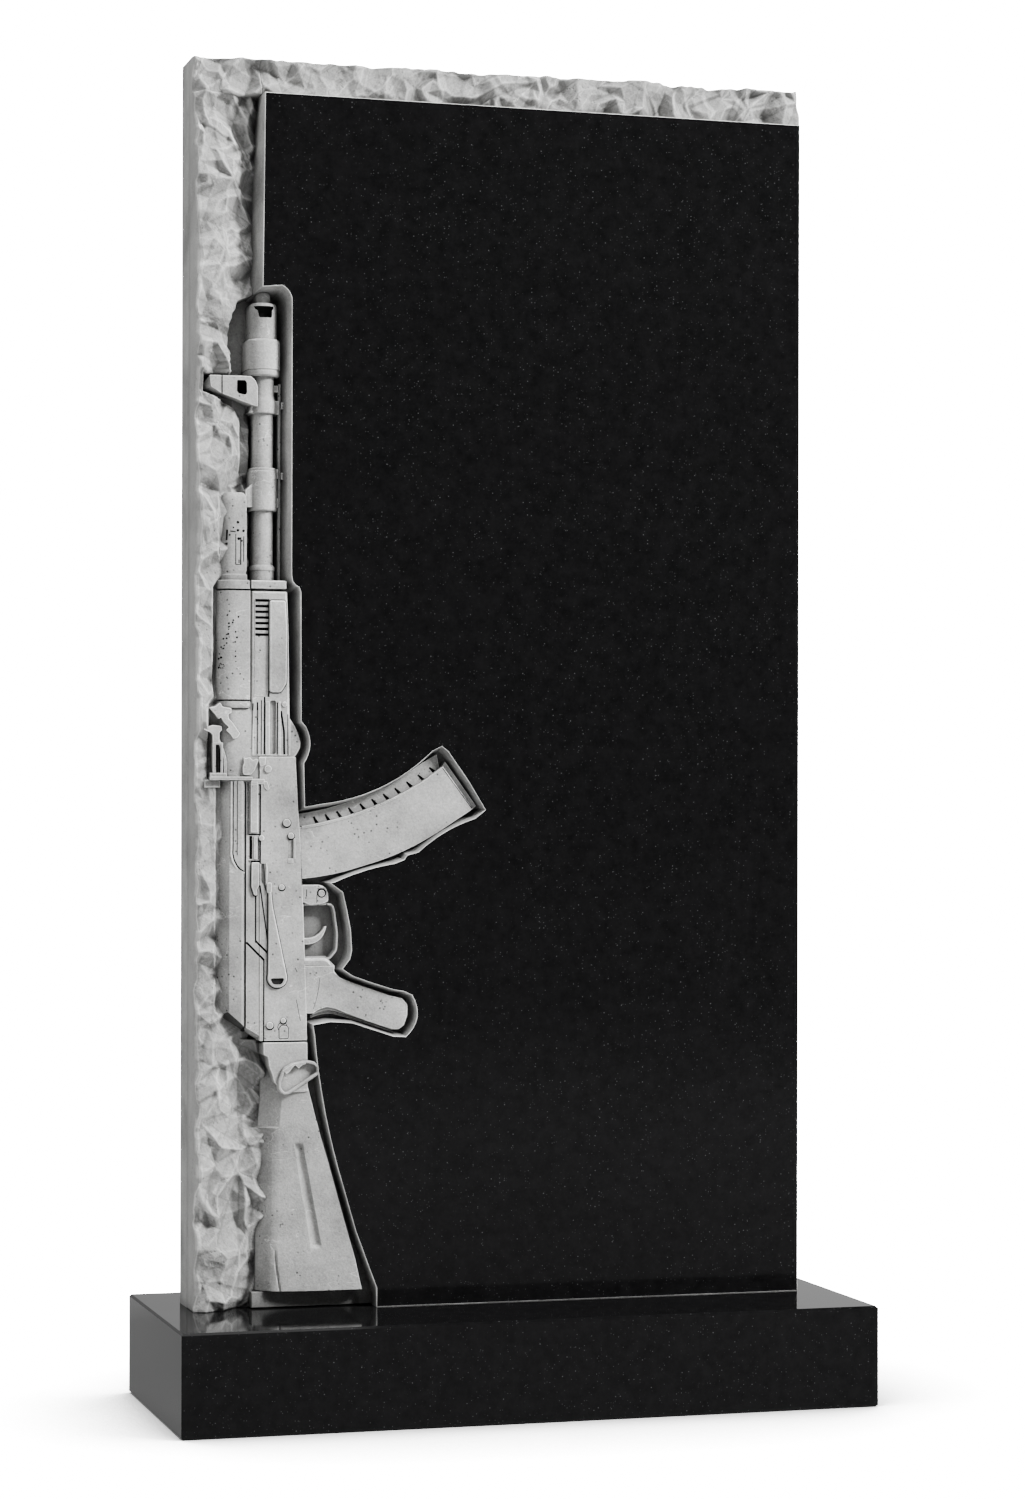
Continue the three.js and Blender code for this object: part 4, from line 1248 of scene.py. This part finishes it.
class MEMORIAL_OT_grip(bpy.types.Operator):
    """Carves the trigger, its guard and the pistol grip"""
    bl_idname = "memorial.grip"
    bl_label = "Trigger and grip"

    def execute(self, context):
        guard = soften(points((103, 381.4), (128, 382.0), (132.4, 380.6), (134.0, 375), (136.8, 353),
                              (135.8, 338), (129, 330), (103, 330)), 2.4, 4)
        trigger = np.vstack((bow((103, 344.0), (127.6, 361.0), -7.0, 12),
                             bow((125.4, 360.5), (103, 350.4), 4.6, 12)))
        front = soften(points((98, 400.2), (119.5, 400.2), (125, 398), (128, 393), (127.8, 384.4),
                              (122.4, 382), (110, 380.8), (103, 384), (98, 384)), 1.6, 4)
        handle = soften(np.vstack((
            points((102, 324), (134, 324), (133.4, 318), (139, 312.6), (151, 307.6), (171, 300.8),
                   (187, 295.2),
                   (199.8, 292.2), (205.2, 286), (205, 276), (201.5, 266), (196, 262.4), (190.6, 262.6)),
            bow((186, 264), (134, 283), 0.8, 5), points((126, 284.6), (118, 282), (113, 278.6),
                                                        (102, 279.0)))),
            1.2, 3)
        ledge = loft_end(points((102, 324.4), (133.4, 324.0)), points((102, 332.0), (127.4, 332.6)), 5.4, 16)
        top = carved(soften(points((102, 323), (131, 322.8), (129, 328.6), (124.6, 331), (102, 331)),
                            1.5, 3), 4.4, edge=2.6, steps=3)
        lips = [np.vstack((bow((113, 277.2), (128, 281.6), 0.8, 5), bow((134, 280.6), (192, 261.4), 0.6, 8),
                           bow((188, 264.8), (134, 284.2), -0.6, 8), bow((126, 286), (113, 280), -0.8, 5))),
                np.vstack((bow((112, 274.0), (130, 278.0), 0.8, 5), bow((134, 277.6), (196, 257.6), 0.6, 8),
                           bow((192, 260.8), (134, 280.2), -0.6, 8),
                           bow((128, 281.4), (112, 276.6), -0.8, 5)))]
        carve("carved_grip", [carved(handle, 5.0, edge=1.1, steps=3)],
              cuts=[groove(bow((119.4, 312), (113.4, 283), 1.0, 4), 0.5, 5, 0.5)],
              raised=[ledge, top, carved(lips[0], 8.4, edge=0.7), carved(lips[1], 12.6, edge=0.7)])
        carve("carved_trigger", [carved(front, 6.4, edge=1.2, steps=3)],
              cuts=[prism(circle((121.2, 392.6), 4.6, 18), 0, 9.2),
                    groove([(106.8, 396), (106.8, 389)], 0.8, 6.4, 0.9),
                    groove([(116.6, 383), (116.8, 391)], 0.7, 6.4, 0.6)],
              raised=[strap(guard, 1.9, 7.6, ROOT), carved(trigger, 12, edge=1.0),
                      boss(121.4, 392.2, 3.2, 6.0)])
        return {"FINISHED"}


class MEMORIAL_OT_stock(bpy.types.Operator):
    """Carves the stock, its groove and the sling loop"""
    bl_idname = "memorial.stock"
    bl_label = "Stock"

    def execute(self, context):
        loop = soften(points((84.5, 227.4), (93, 231.4), (104, 233.4), (112, 232.6), (116.8, 229),
                             (117.2, 222.8),
                             (88.4, 204.4), (84.6, 203.6), (80.0, 208.4), (79.8, 214.8)), 1.6, 4)
        end = points((82.6, 225.6), (86.4, 222.6), (89.4, 224.4), (92.4, 228.6), (95.0, 230.6), (98.2, 227.4),
                     (101.6, 230.4), (105.4, 231.6), (104.6, 234.0), (94, 232.6), (88, 229.4))
        hollow = shrink(anticlockwise(loop), -1.6)
        carve("carved_stock", [self.butt()], cuts=[prism(hollow, 1, 8, 1)], sharp=22)
        carve("carved_tang", [self.tang()], cuts=[prism(hollow, 1, 9, 1)],
              raised=[strap(loop, 3.0, 0.4, 9, 0.9), carved(loop, 6.0),
                      carved(soften(end, 0.6, 2), 0.2, 9, edge=0.7)])
        return {"FINISHED"}

    def tang(self):
        """The flat head of the stock, over the neck."""
        outline = points((65.0, 252), (65.4, 240.6), (69.4, 238.4), (70.8, 229), (73.4, 222.6), (75.6, 214.4),
                         (78.4, 211.6), (84.2, 208), (90, 205), (107.8, 205), (107.4, 252))
        return carved(soften(outline, 0.8, 2), 4.0, edge=1.0)

    def butt(self):
        """Lofted between a left and a right edge: a left side that rolls away, cut to one flat facet
        at the neck above a small step, a rounded right edge, and a long groove that
        fades out at both ends."""
        up = np.concatenate((np.linspace(17, 171, 90), np.linspace(171.5, 251, 60)))
        left = np.interp(up, (17, 60, 120, 171, 171.5, 200, 215, 235, 251),
                         (62, 62, 62.8, 62.8, 63.6, 66.0, 66.6, 66.0, 65.0))
        right = np.interp(up, (17, 47, 93, 117, 140, 162, 180, 198, 210, 251),
                          (161, 154.3, 141, 134.3, 127.7, 121, 116, 111.4, 108.4, 107.2))
        share = np.concatenate((np.linspace(0, 0.22, 21), np.linspace(0.24, 0.97, 60),
                                np.linspace(0.975, 1, 6)))
        across = left[:, None] + (right - left)[:, None] * share[None]
        from_left, from_right = across - left[:, None], right[:, None] - across
        neck = smoothstep(170.6, 172.4, up)[:, None]
        fall = 10.5 + 8 * smoothstep(205, 235, up)[:, None]
        facet = np.clip(1 - from_left / 18, 0, 1)
        turn_right = np.clip(1 - from_right / 1.6, 0, 1)
        crown = np.clip(1 - from_left / 62, 0, 1) ** 1.8
        rolled = np.interp(from_left, (0, 9, 12, 15, 18, 24, 44, 64),
                           (20.5, 10.3, 7.8, 6.2, 5.1, 3.8, 0.7, 0.0))
        step = 1.4 * np.exp(-((up[:, None] - 170.4) / 1.1) ** 2) * np.clip(1.3 - from_left / 22, 0, 1)
        depth = (4.2 + (1 - neck) * rolled + neck * (fall * facet + 8.0 * crown) - step
                 + 1.6 * (1 - np.sqrt(1 - turn_right ** 2)))
        axis = np.interp(up, (58, 155), (116.4, 99.4))[:, None]
        half = np.interp(up, (58, 155), (4.8, 4.2))[:, None]
        ends = smoothstep(56, 61, up)[:, None] * (1 - smoothstep(152, 157, up)[:, None])
        groove_line = np.clip(1 - ((across - axis) / half) ** 2, 0, 1) ** 0.6 * ends
        crack_at = np.interp(up, (17, 36, 58), (82.4, 79.6, 77.4))[:, None]
        crack = np.exp(-((across - crack_at) / 0.9) ** 2) * (1 - smoothstep(46, 60, up)[:, None])
        depth = depth + 2.8 * groove_line + 1.8 * crack
        face = np.stack((across, depth), axis=-1)
        back = face[:, (0, -1)].copy()
        back[..., 1] = ROOT
        loop = np.concatenate((back[:, :1], face, back[:, 1:]), axis=1)
        return swept(loop, up)


class MEMORIAL_OT_stage(bpy.types.Operator):
    """Makes the studio: a pale floor, soft lamps and the camera of the photograph"""
    bl_idname = "memorial.stage"
    bl_label = "Stage"

    def execute(self, context):
        self.floor()
        self.lamps(context.scene.stage_settings)
        self.sky()
        self.camera(context.scene)
        return {"FINISHED"}

    def floor(self):
        """A wide pale floor with a painted contact shadow close to the plinth."""
        mesh = bpy.data.meshes.new("studio_floor")
        reach = 40.0
        mesh.from_pydata([(-reach, -reach, 0), (reach, -reach, 0), (reach, reach, 0), (-reach, reach, 0)],
                         [], [(0, 1, 2, 3)])
        ground = bpy.data.objects.new("studio_floor", mesh)
        bpy.context.scene.collection.objects.link(ground)
        material, tree, shader, _ = new_material("Studio floor", 0.8, 0.0)
        shader.inputs["Base Color"].default_value = (*bpy.context.scene.stage_settings.floor_colour, 1)
        path = add(tree, "ShaderNodeLightPath")
        # Painted shadow: to the camera the floor glows white, dimmed by occlusion close to the plinth
        open_sky = add(tree, "ShaderNodeAmbientOcclusion", {"Distance": 0.4}, samples=8)
        painted_contact_shadow = math_node(tree, "POWER", open_sky.outputs["AO"], 5.0)
        white = math_node(tree, "MULTIPLY", painted_contact_shadow, WHITE_SEEN)
        glow = math_node(tree, "MULTIPLY", white, path.outputs["Is Camera Ray"])
        mirrored = math_node(tree, "MULTIPLY", path.outputs["Is Glossy Ray"], 0.25)
        shader.inputs["Emission Color"].default_value = (1, 1, 1, 1)
        tree.links.new(math_node(tree, "ADD", glow, mirrored), shader.inputs["Emission Strength"])
        mesh.materials.append(material)

    def lamps(self, settings):
        """Square area lamps aimed at the stone: (name, azimuth to the right of the front, elevation,
        distance, width, share of the key's power)."""
        target = np.array((0, 0, 0.7))
        for name, azimuth, elevation, distance, width, share in (
                ("key", 49, 36, 5.0, 1.1, 1.0), ("top", -10, 70, 4.0, 2.2, 0.2),
                ("left", -93, 12, 4.0, 1.8, 0.115)):
            azimuth, elevation = math.radians(azimuth), math.radians(elevation)
            lamp = bpy.data.lights.new(name, "AREA")
            lamp.shape = "SQUARE"
            lamp.size = width
            lamp.energy = settings.key_power * share
            holder = bpy.data.objects.new(name, lamp)
            holder.location = target + distance * np.array((
                math.sin(azimuth) * math.cos(elevation), -math.cos(azimuth) * math.cos(elevation),
                math.sin(elevation)))
            holder.rotation_euler = (math.pi / 2 - elevation, 0, azimuth)
            bpy.context.scene.collection.objects.link(holder)

    def sky(self):
        """Even soft light on matt stone. Polished stone mirrors a dark front and a pale back, paler to
        the right, and the camera sees plain white."""
        world = bpy.data.worlds.new("Studio")
        bpy.context.scene.world = world
        world.use_nodes = True
        tree = world.node_tree
        background = tree.nodes["Background"]
        ways = add(tree, "ShaderNodeTexCoord").outputs["Generated"]
        parts = add(tree, "ShaderNodeSeparateXYZ", {0: ways}).outputs
        behind = ramp(tree, parts["Y"], [(0.0, 0.05), (0.9, 0.75)])
        sideways = ramp(tree, parts["X"], [(0.05, 0.7), (0.45, 1.3)])
        mirrored = math_node(tree, "MULTIPLY", behind, sideways)
        path = add(tree, "ShaderNodeLightPath")
        glossy = add(tree, "ShaderNodeMix", data_type="RGBA")
        tree.links.new(path.outputs["Is Glossy Ray"], glossy.inputs[0])
        glossy.inputs[6].default_value = SOFT_LIGHT
        tree.links.new(mirrored, glossy.inputs[7])
        seen = add(tree, "ShaderNodeMix", data_type="RGBA")
        tree.links.new(path.outputs["Is Camera Ray"], seen.inputs[0])
        tree.links.new(glossy.outputs[2], seen.inputs[6])
        seen.inputs[7].default_value = (WHITE_SEEN, WHITE_SEEN, WHITE_SEEN, 1)
        tree.links.new(seen.outputs[2], background.inputs["Color"])

    def camera(self, scene):
        """The photograph's view: level, turned right of the face, with the stone's middle low in it."""
        picture_height, focal_pixels, middle_row = 1499.0, 3425.5, 820.4
        lens = bpy.data.cameras.new("view")
        lens.sensor_fit = "VERTICAL"
        lens.sensor_height = 36.0
        lens.lens = focal_pixels / picture_height * lens.sensor_height
        lens.shift_y = (middle_row - picture_height / 2) / picture_height
        viewer = bpy.data.objects.new("view", lens)
        viewer.location = (-0.912699, -3.168164, 0.557452)
        viewer.rotation_euler = (math.pi / 2, math.radians(-0.12), math.radians(-16.27))
        scene.collection.objects.link(viewer)
        scene.camera = viewer


OPERATORS = (
    MEMORIAL_OT_materials, MEMORIAL_OT_plinth, MEMORIAL_OT_stone_back, MEMORIAL_OT_panel,
    MEMORIAL_OT_rock_border, MEMORIAL_OT_barrel, MEMORIAL_OT_handguard, MEMORIAL_OT_rear_sight,
    MEMORIAL_OT_receiver, MEMORIAL_OT_magazine, MEMORIAL_OT_grip, MEMORIAL_OT_stock, MEMORIAL_OT_stage,
)


class MEMORIAL_PT_panel(bpy.types.Panel):
    """Lists the memorial's pieces and settings in the 3D view's sidebar"""
    bl_label = "Grave memorial"
    bl_space_type = "VIEW_3D"
    bl_region_type = "UI"
    bl_category = "Memorial"

    def draw(self, context):
        for settings in (context.scene.stone_settings, context.scene.carving_settings,
                         context.scene.stage_settings):
            for key in settings.__annotations__:
                self.layout.prop(settings, key)
        for operator in OPERATORS:
            self.layout.operator(operator.bl_idname)


SETTINGS = {"stone_settings": StoneSettings, "carving_settings": CarvingSettings,
            "stage_settings": StageSettings}


def register():
    """Makes the settings, operators and panel known."""
    for key, group in SETTINGS.items():
        bpy.utils.register_class(group)
        setattr(bpy.types.Scene, key, bpy.props.PointerProperty(type=group))
    for kind in (*OPERATORS, MEMORIAL_PT_panel):
        bpy.utils.register_class(kind)


def unregister():
    """Takes them away again."""
    for kind in (MEMORIAL_PT_panel, *reversed(OPERATORS)):
        bpy.utils.unregister_class(kind)
    for key, group in SETTINGS.items():
        delattr(bpy.types.Scene, key)
        bpy.utils.unregister_class(group)


def main():
    """Makes every piece in order."""
    register()
    for operator in OPERATORS:
        getattr(bpy.ops.memorial, operator.bl_idname.split(".")[1])()


if __name__ == "__main__":
    main()
